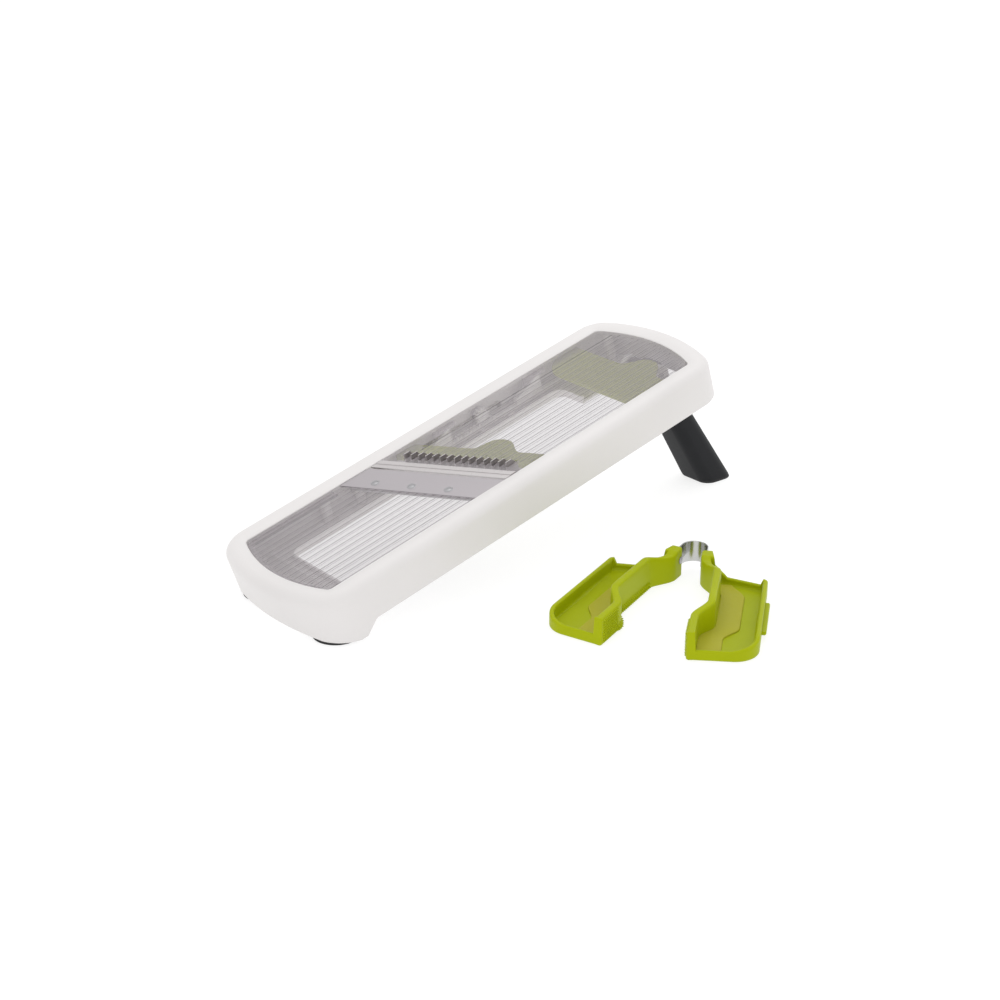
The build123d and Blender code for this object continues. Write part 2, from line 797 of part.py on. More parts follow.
dial_shaft = side_profile(pinion_outline(), pinion_far, pinion_near)
shaft_end = -half_outer - dial_clearance - dial_depth + 2.0
dial_shaft += cross_rod(shaft_end, pinion_near, dial_y, dial_z, shaft_radius)
washer_x0 = -half_outer + wall + 1.6
dial_shaft -= cross_rod(shaft_end - 1, shaft_end + 9, dial_y, dial_z, small_screw)
dial_washer = cross_rod(washer_x0, washer_x0 + 1.0, dial_y, dial_z, shaft_radius + 2.4)
dial_washer -= cross_rod(washer_x0 - 1, washer_x0 + 2, dial_y, dial_z, shaft_radius)

dial_inner = -half_outer - dial_clearance
dial = cross_rod(dial_inner - dial_depth, dial_inner, dial_y, dial_z, dial_radius)
dial_rim = dial.faces().sort_by(Axis.X)[0].edges()
dial = fillet(dial_rim, 1.2)
finger_grooves = 18
for k in range(finger_grooves):
    turn = 2 * pi * k / finger_grooves
    gy = dial_y + (dial_radius + 0.6) * cos(turn)
    gz = dial_z + (dial_radius + 0.6) * sin(turn)
    dial -= cross_rod(dial_inner - dial_depth - 1, dial_inner - 1.2, gy, gz, 1.3)
dial -= cross_rod(shaft_end, dial_inner + 1, dial_y, dial_z, shaft_radius)
dial -= cross_rod(dial_inner - dial_depth - 1, shaft_end + 1, dial_y, dial_z, small_screw + 0.1)
dial -= cross_rod(
    dial_inner - dial_depth - 1, dial_inner - dial_depth + 1.0, dial_y, dial_z, dial_screw_head + 0.2
)
dial_outer = dial_inner - dial_depth
dial_screw = cross_rod(dial_outer + 0.1, dial_outer + 1.0, dial_y, dial_z, dial_screw_head)
dial_screw += cross_rod(dial_outer + 1.0, shaft_end + 8, dial_y, dial_z, small_screw - 0.02)
dial_screw -= block(
    dial_inner - dial_depth, dial_inner - dial_depth + 0.6,
    dial_y - 1.5, dial_y + 1.5, dial_z - 0.25, dial_z + 0.25,
)
nodes["thickness_dial"] = dial
nodes["dial_shaft"] = dial_shaft
nodes["dial_washer"] = dial_washer
nodes["dial_screw"] = dial_screw

# ================================================================ leg
deck_lean = radians(leg_lean - tilt)
leg_direction = Vector(0, sin(deck_lean), -cos(deck_lean))
leg_plane = Plane(origin=(0, leg_hinge_y, leg_hinge_z), x_dir=(1, 0, 0), z_dir=leg_direction)
hinge_height = deck_height + leg_hinge_y * toe_sin + leg_hinge_z * toe_cos
leg_reach = hinge_height / cos(radians(leg_lean))
leg_cut_length = leg_reach + leg_foot_depth


def leg_section(width, depth, distance):
    """Rounded section, its inner face leg_near_face from the hinge line."""
    face = Pos(0, leg_near_face - depth / 2, distance) * RectangleRounded(width, depth, leg_corner)
    return leg_plane * face


def above_table(height):
    """Everything of the leg's space higher than this above the table."""
    near = leg_hinge_y - 150
    far = leg_hinge_y + 200
    outline = [
        (near, table_z(near, height)),
        (far, table_z(far, height)),
        (far, 60),
        (near, 60),
    ]
    return side_profile(outline, -wide, wide)


leg_foot_scale = leg_cut_length / leg_reach
foot_width = leg_top_width + (leg_foot_width - leg_top_width) * leg_foot_scale
foot_depth = leg_top_depth + (leg_foot_depth - leg_top_depth) * leg_foot_scale
leg_blank = loft([
    leg_section(leg_top_width, leg_top_depth, 0),
    leg_section(foot_width, foot_depth, leg_cut_length),
])
barrel = cross_rod(-barrel_half_width, barrel_half_width, leg_hinge_y, leg_hinge_z, barrel_radius)
pin_hole = cross_rod(-wide, wide, leg_hinge_y, leg_hinge_z, pin_radius + pin_clearance)
rear_leg = (leg_blank & above_table(leg_pad_thickness)) + barrel - pin_hole
notch = Pos(0, leg_near_face + 0.4, notch_distance) * Box(leg_foot_width + 10, 4.0, notch_height)
rear_leg -= leg_plane * notch
leg_pad = (leg_blank & above_table(0)) - above_table(leg_pad_thickness)
pin_half = barrel_half_width + ear_gap + ear_thickness + 0.8
leg_pin = cross_rod(-pin_half, pin_half, leg_hinge_y, leg_hinge_z, pin_radius)
leg_bracket = []
bracket_screws = []
for side in (-1, 1):
    ear_inner = barrel_half_width + ear_gap
    x0, x1 = sorted((side * ear_inner, side * (ear_inner + ear_thickness)))
    ear = block(x0, x1, leg_hinge_y - 8, leg_hinge_y + 8, base_top, leg_hinge_z)
    ear += cross_rod(x0, x1, leg_hinge_y, leg_hinge_z, barrel_radius + 1)
    f0, f1 = sorted((side * ear_inner, side * bracket_reach))
    ear += block(f0, f1, leg_hinge_y - 10, leg_hinge_y + 10, base_top, base_top + 2.5)
    ear -= cross_rod(-wide, wide, leg_hinge_y, leg_hinge_z, pin_radius + 0.01)
    for sy in (leg_hinge_y - 6, leg_hinge_y + 6):
        sx = side * (bracket_reach - 5)
        hole = rod(sx, sy, -body_depth - 1, base_top + 5, small_screw + 0.05)
        ear -= hole
        nodes["base_frame"] -= hole
        nodes["base_frame"] -= rod(
            sx, sy, -body_depth - 1, -body_depth + small_head_height + 0.1, bracket_head + 0.2
        )
        bracket_screws.append(
            screw(
                sx, sy, -body_depth + 0.1, bracket_screw_reach, small_screw, bracket_head,
                small_head_height,
            )
        )
    leg_bracket.append(ear)
nodes["rear_leg"] = rear_leg
nodes["leg_pad"] = leg_pad
nodes["leg_pin"] = leg_pin
nodes["leg_brackets"] = leg_bracket
nodes["bracket_screws"] = bracket_screws

# ================================================================ the slicer is set on the table
for name in list(nodes):
    shape = nodes[name]
    if isinstance(shape, list):
        nodes[name] = [slicer_place * piece for piece in shape]
    else:
        nodes[name] = slicer_place * shape

# front feet, level on the table
for side, label in ((-1, "left"), (1, "right")):
    x = side * foot_x
    rubber = rod(x, foot_y, 0, rubber_thickness, rubber_radius)
    rubber = fillet(rubber.edges().sort_by(Axis.Z)[0], 0.5)
    pad = rod(x, foot_y, rubber_thickness, toe_clearance, foot_radius)
    nodes[f"foot_pad_{label}"] = pad
    nodes[f"foot_rubber_{label}"] = rubber

# ================================================================ food grip
# drawn for the jaw on the +y side: x runs from the spring to the open end, y away from the
# gripping face, which stands jaw_offset from the spring's centre
def jaw_outline():
    """Plan of one jaw with its wavy gripping side."""
    bite = jaw_offset + bite_depth
    face = jaw_offset
    front = face - knuckle_proud
    side = face + jaw_width
    edges = [
        Line((knuckle_start, front), (knuckle_end, front)),
        Bezier(
            (knuckle_end, front), (knuckle_end + 11, front),
            (bite_full - 12, bite), (bite_full, bite),
        ),
        Line((bite_full, bite), (bite_end, bite)),
        Bezier((bite_end, bite), (bite_end + 11, bite), (bite_close - 9, face), (bite_close, face)),
        Line((bite_close, face), (jaw_end, face)),
        Line((jaw_end, face), (jaw_end - 3, side)),
        Line((jaw_end - 3, side), (jaw_back_outer, side)),
        Line((jaw_back_outer, side), (jaw_back_inner, bite + jaw_wall)),
        Line((jaw_back_inner, bite + jaw_wall), (knuckle_start, face + knuckle_depth)),
        Line((knuckle_start, face + knuckle_depth), (knuckle_start, front)),
    ]
    outline = make_face(edges)
    outer_corner_point = outline.vertices().sort_by(lambda v: v.Y + v.X)[-1]
    outline = fillet([outer_corner_point], jaw_corner)
    back_corner = outline.vertices().sort_by(lambda v: v.Y - v.X)[-1]
    return fillet([back_corner], 4)


jaw_face = jaw_outline()
trough_face = offset(jaw_face, amount=-outer_wall) & (Pos(0, jaw_wall, 0) * jaw_face)
inner_strip = jaw_face - Pos(0, jaw_wall, 0) * jaw_face
jaw_side = jaw_offset + jaw_width
jaw = raised(jaw_face, 0, outer_height) - raised(trough_face, jaw_floor, outer_height + 1)
trough_edge = jaw_offset + bite_depth + jaw_wall
jaw -= block(jaw_end - 8, jaw_end + 5, jaw_offset + jaw_wall, trough_edge + 60, low_height, 40)
jaw -= block(0, jaw_back_outer + 3, trough_edge, jaw_side - 6, low_height, 40)
jaw += raised(inner_strip, 0, jaw_height)
knuckle_side = jaw_offset - knuckle_proud
jaw += block(
    knuckle_start, knuckle_end, knuckle_side, knuckle_side + knuckle_depth, 0, jaw_height
)
slot = spring_band / 2 + spring_gap
jaw -= block(
    knuckle_start - 1, spring_leg + 0.5,
    spring_radius - slot, spring_radius + slot, spring_bottom - spring_gap, jaw_height + 1,
)
jaw += block(
    tab_start, tab_start + tab_length, jaw_side - 0.5, jaw_side + tab_depth,
    tab_bottom, tab_bottom + tab_height,
)
liner_face = offset(jaw_face, amount=-outer_wall - liner_gap)
liner_face &= Pos(0, jaw_wall + liner_gap, 0) * jaw_face
liner_face -= Pos(0, jaw_wall + liner_width, 0) * jaw_face
liner = raised(liner_face, jaw_floor, jaw_floor + liner_thickness)
liner -= block(0, knuckle_end + liner_gap, 0, jaw_side, 0, jaw_height)

# one rivet through each knuckle and the spring's leg
rivet_s = (knuckle_start + spring_leg) / 2
rivet_z = spring_bottom + spring_height / 2


def pin_along_y(x, z, y0, y1, radius):
    """Round bar along y."""
    return Pos(x, (y0 + y1) / 2, z) * Rot(90, 0, 0) * Cylinder(radius, y1 - y0)


knuckle_back = knuckle_side + knuckle_depth
jaw -= pin_along_y(rivet_s, rivet_z, 0, 40, spring_rivet_radius + 0.02)
jaw -= pin_along_y(rivet_s, rivet_z, knuckle_back, 40, spring_rivet_head + 0.3)
spring_rivet = pin_along_y(
    rivet_s, rivet_z, knuckle_side - rivet_head_height, knuckle_back + rivet_head_height,
    spring_rivet_radius,
)
spring_rivet += pin_along_y(
    rivet_s, rivet_z, knuckle_side - rivet_head_height, knuckle_side, spring_rivet_head
)
spring_rivet += pin_along_y(
    rivet_s, rivet_z, knuckle_back, knuckle_back + rivet_head_height, spring_rivet_head
)

# the U-shaped spring band: a bow round the pivot and a leg along each jaw
spring_top = spring_bottom + spring_height
band_half = spring_band / 2
spring = rod(0, 0, spring_bottom, spring_top, spring_radius + band_half)
spring -= rod(0, 0, spring_bottom - 1, spring_top + 1, spring_radius - band_half)
reach = 3 * spring_radius
for side in (-1, 1):
    turn = Rot(0, 0, side * grip_half_angle)
    y0, y1 = sorted((0, side * reach))
    spring -= turn * block(0, reach, y0, y1, spring_bottom - 1, spring_top + 1)
spring -= block(0, reach, -spring_radius / 2, spring_radius / 2, spring_bottom - 1, spring_top + 1)
for side in (-1, 1):
    turn = Rot(0, 0, side * grip_half_angle)
    y0, y1 = sorted((side * (spring_radius - band_half), side * (spring_radius + band_half)))
    leg = block(-0.01, spring_leg, y0, y1, spring_bottom, spring_top)
    leg -= pin_along_y(rivet_s, rivet_z, -reach, reach, spring_rivet_radius + spring_gap)
    spring += turn * leg

grip_place = Location((grip_x, grip_y, 0), (0, 0, grip_turn))
for side, label in ((-1, "left"), (1, "right")):
    turn = grip_place * Rot(0, 0, side * grip_half_angle)
    pieces = {
        f"jaw_{label}": jaw,
        f"jaw_liner_{label}": liner,
        f"spring_rivet_{label}": spring_rivet,
    }
    for name, piece in pieces.items():
        handed = piece if side > 0 else mirror(piece, about=Plane.XZ)
        nodes[name] = turn * handed
nodes["grip_spring"] = grip_place * spring

# ================================================================ origin and files
# the origin lies on the table, under the middle of the box round the slicer and its grip
everything = []
for shape in nodes.values():
    everything += shape if isinstance(shape, list) else [shape]
box = Compound(children=[Compound(piece.wrapped) for piece in everything]).bounding_box()
to_origin = Pos(-(box.min.X + box.max.X) / 2, -(box.min.Y + box.max.Y) / 2, -box.min.Z)

os.makedirs("parts", exist_ok=True)
for name, shape in nodes.items():
    if isinstance(shape, list):
        solid = Compound(children=[to_origin * piece for piece in shape])
    else:
        solid = to_origin * shape
    export_step(solid, f"parts/{name}.step")
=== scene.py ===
import json
import math
import bmesh
import bpy
import numpy as np
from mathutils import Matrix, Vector


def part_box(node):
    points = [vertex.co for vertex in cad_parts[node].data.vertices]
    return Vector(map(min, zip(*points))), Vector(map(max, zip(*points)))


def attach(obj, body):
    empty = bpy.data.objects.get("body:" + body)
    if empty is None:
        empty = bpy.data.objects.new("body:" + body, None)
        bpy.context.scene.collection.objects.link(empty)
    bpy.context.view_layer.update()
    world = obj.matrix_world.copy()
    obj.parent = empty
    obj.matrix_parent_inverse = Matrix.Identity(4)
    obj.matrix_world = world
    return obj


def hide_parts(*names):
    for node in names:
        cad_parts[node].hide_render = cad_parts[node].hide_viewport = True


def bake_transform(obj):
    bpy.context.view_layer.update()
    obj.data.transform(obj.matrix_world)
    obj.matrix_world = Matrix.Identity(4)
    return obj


# A sloped kitchen slicer on its fold-out leg, with its two-jaw food grip lying beside it.
# Sizes are in millimetres unless a name says otherwise; a finished mesh is in metres.
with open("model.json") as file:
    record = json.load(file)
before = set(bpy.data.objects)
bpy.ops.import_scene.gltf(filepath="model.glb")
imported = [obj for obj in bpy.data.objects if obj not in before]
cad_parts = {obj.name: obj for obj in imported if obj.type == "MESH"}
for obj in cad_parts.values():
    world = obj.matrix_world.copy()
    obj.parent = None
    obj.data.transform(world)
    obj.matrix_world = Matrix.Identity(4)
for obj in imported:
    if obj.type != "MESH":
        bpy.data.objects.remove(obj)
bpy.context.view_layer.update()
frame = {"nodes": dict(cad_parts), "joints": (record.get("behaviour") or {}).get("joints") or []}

# ---------------------------------------------------------------- body shell
# One injection-moulded ABS shell: a soft crowned rim round the deck opening, drafted side walls and a
# low end wall that rakes in to a level toe.  Six screw bosses hang inside it, below the rim.
tilt = math.radians(14.6)
deck_height = 40.0
half_opening, opening_tip, opening_far, opening_bow, opening_corner = 51.0, -11.0, 351.0, 11.0, 4.0
half_body, body_tip, body_far, body_bow, body_corner = 67.0, -26.5, 366.5, 16.0, 24.0
low_bow, low_corner, loft_fall = 6.0, 22.0, 44.0
rim_crown, rim_round, rim_thickness = 1.6, 7.0, 3.2
body_depth, wall, skirt_top = 31.0, 2.6, -6.0
side_draft, near_rake = math.tan(math.radians(3.0)), math.tan(math.radians(10.7))
toe_gap, toe_back, toe_slope = 2.6, 10.0, 11.0
foot_y = 10.2
foot_boxes = np.array([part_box("foot_rubber_left"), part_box("foot_rubber_right")])
origin_x, origin_y = (foot_boxes.mean((0, 1)) - (0, foot_y / 1000, 0))[:2].tolist()


def on_deck(x, y, z):
    """Points of the deck frame, tilted about its low edge and put in the row's frame."""
    x, y, z = np.broadcast_arrays(np.asarray(x, float), y, z)
    along = y * math.cos(tilt) - z * math.sin(tilt)
    up = deck_height + y * math.sin(tilt) + z * math.cos(tilt)
    return np.stack([x / 1000 + origin_x, along / 1000 + origin_y, up / 1000], -1)


side_steps = np.concatenate([np.linspace(0, 0.76, 12), np.linspace(0.80, 0.94, 16), [0.97, 1.0]])
turn_steps = np.linspace(0, 1, 12)[1:]
arc_steps = np.linspace(0, 1, 17)[1:]
quarter = len(side_steps) + len(turn_steps) + len(arc_steps)
deck_middle = (opening_tip + opening_far) / 2


def quadrant(half, tip, bow, corner):
    """x and y from the middle of the right side to the low tip: a straight side, a corner arc of the given
    radius, and half a bow that falls to the tip on a circle through the two corners."""
    radius = (half ** 2 + bow ** 2) / (2 * bow)
    centre = tip + radius
    corner_x = half - corner
    corner_y = centre - np.sqrt((radius - corner) ** 2 - corner_x ** 2)
    lean = np.arctan2(corner_y - centre, corner_x)
    a = slice(0, len(side_steps))
    b = slice(a.stop, a.stop + len(turn_steps))
    c = slice(b.stop, quarter)
    x, y = np.empty(quarter), np.empty(quarter)
    x[a] = half[a]
    y[a] = deck_middle + (corner_y[a] - deck_middle) * side_steps
    x[b] = corner_x[b] + corner[b] * np.cos(lean[b] * turn_steps)
    y[b] = corner_y[b] + corner[b] * np.sin(lean[b] * turn_steps)
    swing = lean[c] + (-math.pi / 2 - lean[c]) * arc_steps
    x[c] = radius[c] * np.cos(swing)
    y[c] = centre[c] + radius[c] * np.sin(swing)
    return x, y


def lozenge(half, tip, far, bow, corner):
    """The closed outline, one value a column for each size: four quadrants, mirrored in x and in y."""
    sizes = np.broadcast_arrays(half, tip, far, bow, corner, np.zeros(4 * quarter - 4))
    half, tip, far, bow, corner = sizes[:5]
    q = np.arange(quarter)
    starts = (0, quarter - 1, 2 * quarter - 2, 3 * quarter - 3)
    xs, ys = [], []
    for k, start in enumerate(starts):
        index = (start + q) % (4 * quarter - 4)
        index = index if k % 2 == 0 else index[::-1]
        near = k < 2
        low = tip[index] if near else 2 * deck_middle - far[index]
        x, y = quadrant(half[index], low, bow[index], corner[index])
        x = x if k in (0, 3) else -x
        y = y if near else 2 * deck_middle - y
        x, y = (x, y) if k % 2 == 0 else (x[::-1], y[::-1])
        xs.append(x[:-1])
        ys.append(y[:-1])
    return np.concatenate(xs), np.concatenate(ys)


def opening_ring(grow):
    """The deck opening's outline, grown evenly."""
    return lozenge(
        half_opening + grow, opening_tip - grow, opening_far + grow, opening_bow, opening_corner + grow
    )


def body_ring(inset, z):
    """The body's outline at height z, where draft and rake draw it in and its ends grow straighter, shrunk
    evenly by inset."""
    fall = np.maximum(skirt_top - z, 0)
    share = fall / loft_fall
    return lozenge(
        half_body - fall * side_draft - inset,
        body_tip + fall * near_rake + inset,
        body_far - fall * side_draft - inset,
        body_bow + (low_bow - body_bow) * share,
        body_corner + (low_corner - body_corner) * share - inset,
    )


def underside(y):
    """Deck height of the body's lower edge at y: level with the table at the toe, then a slope, then flat."""
    level = (toe_gap - deck_height - np.minimum(y, toe_back) * math.sin(tilt)) / math.cos(tilt)
    rise = np.clip((y - toe_back) / toe_slope, 0, 1)
    return level + (-body_depth - level) * rise


def lower_edge(inset):
    """Height of the lower edge along the outline: y and height depend on each other, so they are settled
    in turn."""
    z = np.full(4 * quarter - 4, -body_depth)
    for _ in range(6):
        z = underside(body_ring(inset, z)[1])
    return z


def shell(points, turns=False, capped=False):
    """Corners and faces over a grid of points, rows by columns: turns joins the last column to the first, and
    capped closes the first and last rows with flat faces."""
    rows, columns = points.shape[:2]
    index = np.arange(rows * columns).reshape(rows, columns)
    ring = np.concatenate([index, index[:, :1]], 1) if turns else index
    faces = np.stack([ring[:-1, :-1], ring[:-1, 1:], ring[1:, 1:], ring[1:, :-1]], -1).reshape(-1, 4).tolist()
    if capped:
        faces += [index[0, ::-1].tolist(), index[-1].tolist()]
    return points.reshape(-1, 3), faces


def piece(name, shells, material, body, nodes, sharp=35.0, outward=True):
    """One object from several shells: doubles merged, faces turned outwards, and edges steeper than sharp
    degrees kept crisp.  It rides on its body and stands for its nodes."""
    corners, faces, start = [], [], 0
    for points, ring in shells:
        corners.append(points)
        faces += [[k + start for k in face] for face in ring]
        start += len(points)
    mesh = bpy.data.meshes.new(name)
    mesh.from_pydata(np.concatenate(corners).tolist(), [], faces)
    work = bmesh.new()
    work.from_mesh(mesh)
    bmesh.ops.remove_doubles(work, verts=work.verts, dist=2e-6)
    bmesh.ops.dissolve_degenerate(work, edges=work.edges, dist=1e-6)
    if outward:
        bmesh.ops.recalc_face_normals(work, faces=work.faces)
    work.to_mesh(mesh)
    work.free()
    mesh.shade_smooth()
    mesh.set_sharp_from_angle(angle=math.radians(sharp))
    mesh.materials.append(material)
    made = bpy.data.objects.new(name, mesh)
    bpy.context.scene.collection.objects.link(made)
    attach(made, body)
    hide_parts(*nodes)
    return made


def lathe(radii, heights, x, y, place, steps=48):
    """A surface of revolution about an upright line through x, y: row k is a circle of radii[k] at
    heights[k]."""
    angle = np.linspace(0, 2 * math.pi, steps, endpoint=False)
    radii, heights = np.asarray(radii, float)[:, None], np.asarray(heights, float)[:, None]
    points = place(x + radii * np.cos(angle), y + radii * np.sin(angle), heights + 0 * angle)
    return shell(points, turns=True)


def linear(code):
    """Linear colour of an sRGB hex value, with full alpha."""
    value = np.array([int(code[k:k + 2], 16) for k in (1, 3, 5)]) / 255
    bent = np.where(value <= 0.04045, value / 12.92, ((value + 0.055) / 1.055) ** 2.4)
    return (*bent.tolist(), 1.0)


def add_node(material, kind, inputs, **settings):
    """Adds one node with its settings; an input is a value, or an output socket that is linked to it."""
    node = material.node_tree.nodes.new(kind)
    for key, value in settings.items():
        setattr(node, key, value)
    for key, value in inputs.items():
        if isinstance(value, bpy.types.NodeSocket):
            material.node_tree.links.new(value, node.inputs[key])
        else:
            node.inputs[key].default_value = value
    return node


def new_finish(name, **values):
    """A material whose shader holds these constant values, and its shader."""
    material = bpy.data.materials.new(name)
    material.use_nodes = True
    shader = material.node_tree.nodes["Principled BSDF"]
    for key, value in values.items():
        shader.inputs[key.replace("_", " ")].default_value = value
    return material, shader


def grained(material, shader, scale, detail, smooth, rough, relief=0.0):
    """Roughness between smooth and rough, and a slight bump where relief isn't zero, from one fine noise."""
    spot = add_node(material, "ShaderNodeTexCoord", {})
    grain = add_node(material, "ShaderNodeTexNoise", {
        "Vector": spot.outputs["Object"], "Scale": scale, "Detail": detail,
    })
    sheen = add_node(material, "ShaderNodeMapRange", {
        "Value": grain.outputs["Fac"], "To Min": smooth, "To Max": rough,
    })
    material.node_tree.links.new(sheen.outputs["Result"], shader.inputs["Roughness"])
    if relief:
        skin = add_node(material, "ShaderNodeBump", {
            "Height": grain.outputs["Fac"], "Strength": relief, "Distance": 0.0001,
        })
        material.node_tree.links.new(skin.outputs["Normal"], shader.inputs["Normal"])


def drifting(material, shader, scale, detail, dark, light, low=0.0, high=1.0):
    """Base colour that drifts from dark to light with a broad noise, between two shares of its range."""
    spot = add_node(material, "ShaderNodeTexCoord", {})
    drift = add_node(material, "ShaderNodeTexNoise", {
        "Vector": spot.outputs["Object"], "Scale": scale, "Detail": detail,
    })
    tone = add_node(material, "ShaderNodeValToRGB", {"Fac": drift.outputs["Fac"]})
    first, last = tone.color_ramp.elements
    first.position, first.color = low, linear(dark)
    last.position, last.color = high, linear(light)
    material.node_tree.links.new(tone.outputs["Color"], shader.inputs["Base Color"])


# Moulded white ABS: a satin skin from a fine spark texture in the mould, with a faint warm-to-cool drift.
abs_white, shader = new_finish("moulded_white_abs", Roughness=0.4, IOR=1.53)
drifting(abs_white, shader, 9.0, 2.0, "#DAD7D6", "#E0DDDC", 0.3, 0.7)
grained(abs_white, shader, 2200.0, 2.0, 0.38, 0.5, 0.08)

lip_round = 0.7
quarter_turn = np.linspace(0, math.pi / 2, 9)
columns = 4 * quarter - 4
rows = []


def add_row(ring, z):
    """Appends one row of the shell's grid."""
    rows.append(on_deck(ring[0], ring[1], z + np.zeros(columns)))


for z in (-rim_thickness, -2.0, -lip_round):
    add_row(opening_ring(0.0), z)
for a in quarter_turn[2::2]:
    add_row(opening_ring(lip_round * (1 - math.cos(a))), -lip_round * (1 - math.sin(a)))
crown_in = np.array(opening_ring(lip_round))
crown_out = np.array(body_ring(rim_round, np.zeros(columns)))
for share in np.linspace(0, 1, 11)[1:]:
    add_row(crown_in + (crown_out - crown_in) * share, rim_crown * math.sin(math.pi / 2 * share))
for a in quarter_turn[1:]:
    add_row(
        body_ring(rim_round * (1 - math.sin(a)), np.zeros(columns)),
        rim_crown - rim_round * (1 - math.cos(a)),
    )
edge_round = 0.9
edge = lower_edge(0.0)
edge_top = edge + edge_round
for share in np.linspace(0, 1, 11)[1:]:
    z = (rim_crown - rim_round) + (edge_top - rim_crown + rim_round) * share
    add_row(body_ring(0.0, z), z)
for a in quarter_turn[2::2]:
    z = edge_top - edge_round * math.sin(a)
    add_row(body_ring(edge_round * (1 - math.cos(a)), z), z)
inner_edge = lower_edge(wall)
for share in np.linspace(0, 1, 8):
    z = inner_edge + (-rim_thickness - inner_edge) * share
    add_row(body_ring(wall, z), z)
rows.append(rows[0])
body_shell = [shell(np.array(rows), turns=True)]
boss_places = [(-58.8, 72.0), (58.8, 72.0), (-58.8, 102.7), (58.8, 148.9), (-47.0, 347.0), (47.0, 347.0)]
boss_outer, boss_hole, boss_head, boss_foot, hole_top = 4.0, 1.5, -rim_thickness + 0.4, -28.6, -16.6
for x, y in boss_places:
    radii = (boss_outer, boss_outer, boss_hole, boss_hole, 0.0, 0.0, boss_outer)
    heights = (boss_head, boss_foot, boss_foot, hole_top, hole_top, boss_head, boss_head)
    body_shell.append(lathe(radii, heights, x, y, on_deck, 24))
piece("body_shell", body_shell, abs_white, "slicer", ["housing"], sharp=30.0)

# ---------------------------------------------------------------- feet
# Two round feet stand under the toe: a short white boss, moulded with the toe, and a glued-on black
# rubber disc with a rounded edge, which sits flat on the table.
rubber_height, rubber_reach, boss_reach = 1.6, 16.6, 16.2


def on_table(x, y, z):
    """Points of the table frame, level, put in the row's frame."""
    x, y, z = np.broadcast_arrays(np.asarray(x, float), y, z)
    return np.stack([x / 1000 + origin_x, y / 1000 + origin_y, z / 1000], -1)


# Nitrile rubber: nearly black and matt, with the slight bloom and pits of a compression moulding.
rubber, shader = new_finish("compression_moulded_rubber", Base_Color=linear("#141415"), IOR=1.52)
grained(rubber, shader, 1500.0, 3.0, 0.62, 0.86, 0.2)

round_x, round_z = np.sin(quarter_turn), 1 - np.cos(quarter_turn)
for label, foot_x in (("left", -42.8), ("right", 42.8)):
    radii = np.concatenate([[0], rubber_reach - 0.5 + 0.5 * round_x, [rubber_reach, 0]])
    heights = np.concatenate([[0], 0.5 * round_z, [rubber_height, rubber_height]])
    disc = lathe(radii, heights, foot_x, foot_y, on_table, 72)
    piece(f"foot_disc_{label}", [disc], rubber, "slicer", [f"foot_rubber_{label}"])
    radii = np.concatenate([[0], boss_reach - 0.3 + 0.3 * round_x, [boss_reach, 0]])
    heights = np.concatenate([[rubber_height], rubber_height + 0.3 * round_z, [toe_gap, toe_gap]])
    boss = lathe(radii, heights, foot_x, foot_y, on_table, 72)
    piece(f"foot_boss_{label}", [boss], abs_white, "slicer", [f"foot_pad_{label}"])

# ---------------------------------------------------------------- outfeed deck
# The fixed lower deck is a clear moulded plate with raised lengthwise ribs that keep slices from sticking.
# Its flange is clamped below the rim, and its far edge steps down to form the ledge under the blade.
skew = math.tan(math.radians(24.4))
along = math.sqrt(1 + skew ** 2)
deck_top, deck_bottom, flange_top, flange_bottom = -0.8, -3.6, -3.4, -5.2
blade_width, blade_thickness, blade_seam, ledge_front = 24.5, 1.0, 0.6, 9.0
rib_pitch, rib_half, rib_height = 6.2, 0.75, 0.45
rib_margin = 4.0


def throat(x):
    """Deck y of the cutting edge at x: the blade is skewed 24.4 degrees."""
    return 133.8 + skew * x


def rib_columns(low, high):
    """x values of the grid's columns, six to a rib, and how high the plate's ribs stand at each."""
    centres = rib_pitch * (np.arange(-8, 8) + 0.5)
    centres = centres[(centres > low + 1) & (centres < high - 1)]
    offsets = rib_half * np.array([-1.0, -0.55, -0.25, 0.25, 0.55, 1.0, rib_pitch / 2 / rib_half])
    x = (centres[:, None] + offsets).ravel()
    lift = np.tile([0.0, 0.75, 1.0, 1.0, 0.75, 0.0, 0.0], len(centres))
    inside = x < high - 0.4
    x, lift = x[inside], lift[inside]
    return np.concatenate([[low], x, [high]]), rib_height * np.concatenate([[0], lift, [0]])


def low_end(x, clearance):
    """Deck y of the opening's low bow at x, a clearance inside it, with its corner arcs."""
    half, tip = half_opening - clearance, opening_tip + clearance
    corner = opening_corner - clearance
    radius = (half_opening ** 2 + opening_bow ** 2) / (2 * opening_bow) - clearance
    centre = tip + radius
    corner_x = half - corner
    corner_y = centre - math.sqrt((radius - corner) ** 2 - corner_x ** 2)
    meet = corner_x * radius / (radius - corner)
    bow = centre - np.sqrt(radius ** 2 - np.minimum(np.abs(x), meet) ** 2)
    arc = corner_y - np.sqrt(np.maximum(corner ** 2 - (np.abs(x) - corner_x) ** 2, 0))
    return np.where(np.abs(x) < meet, bow, arc)


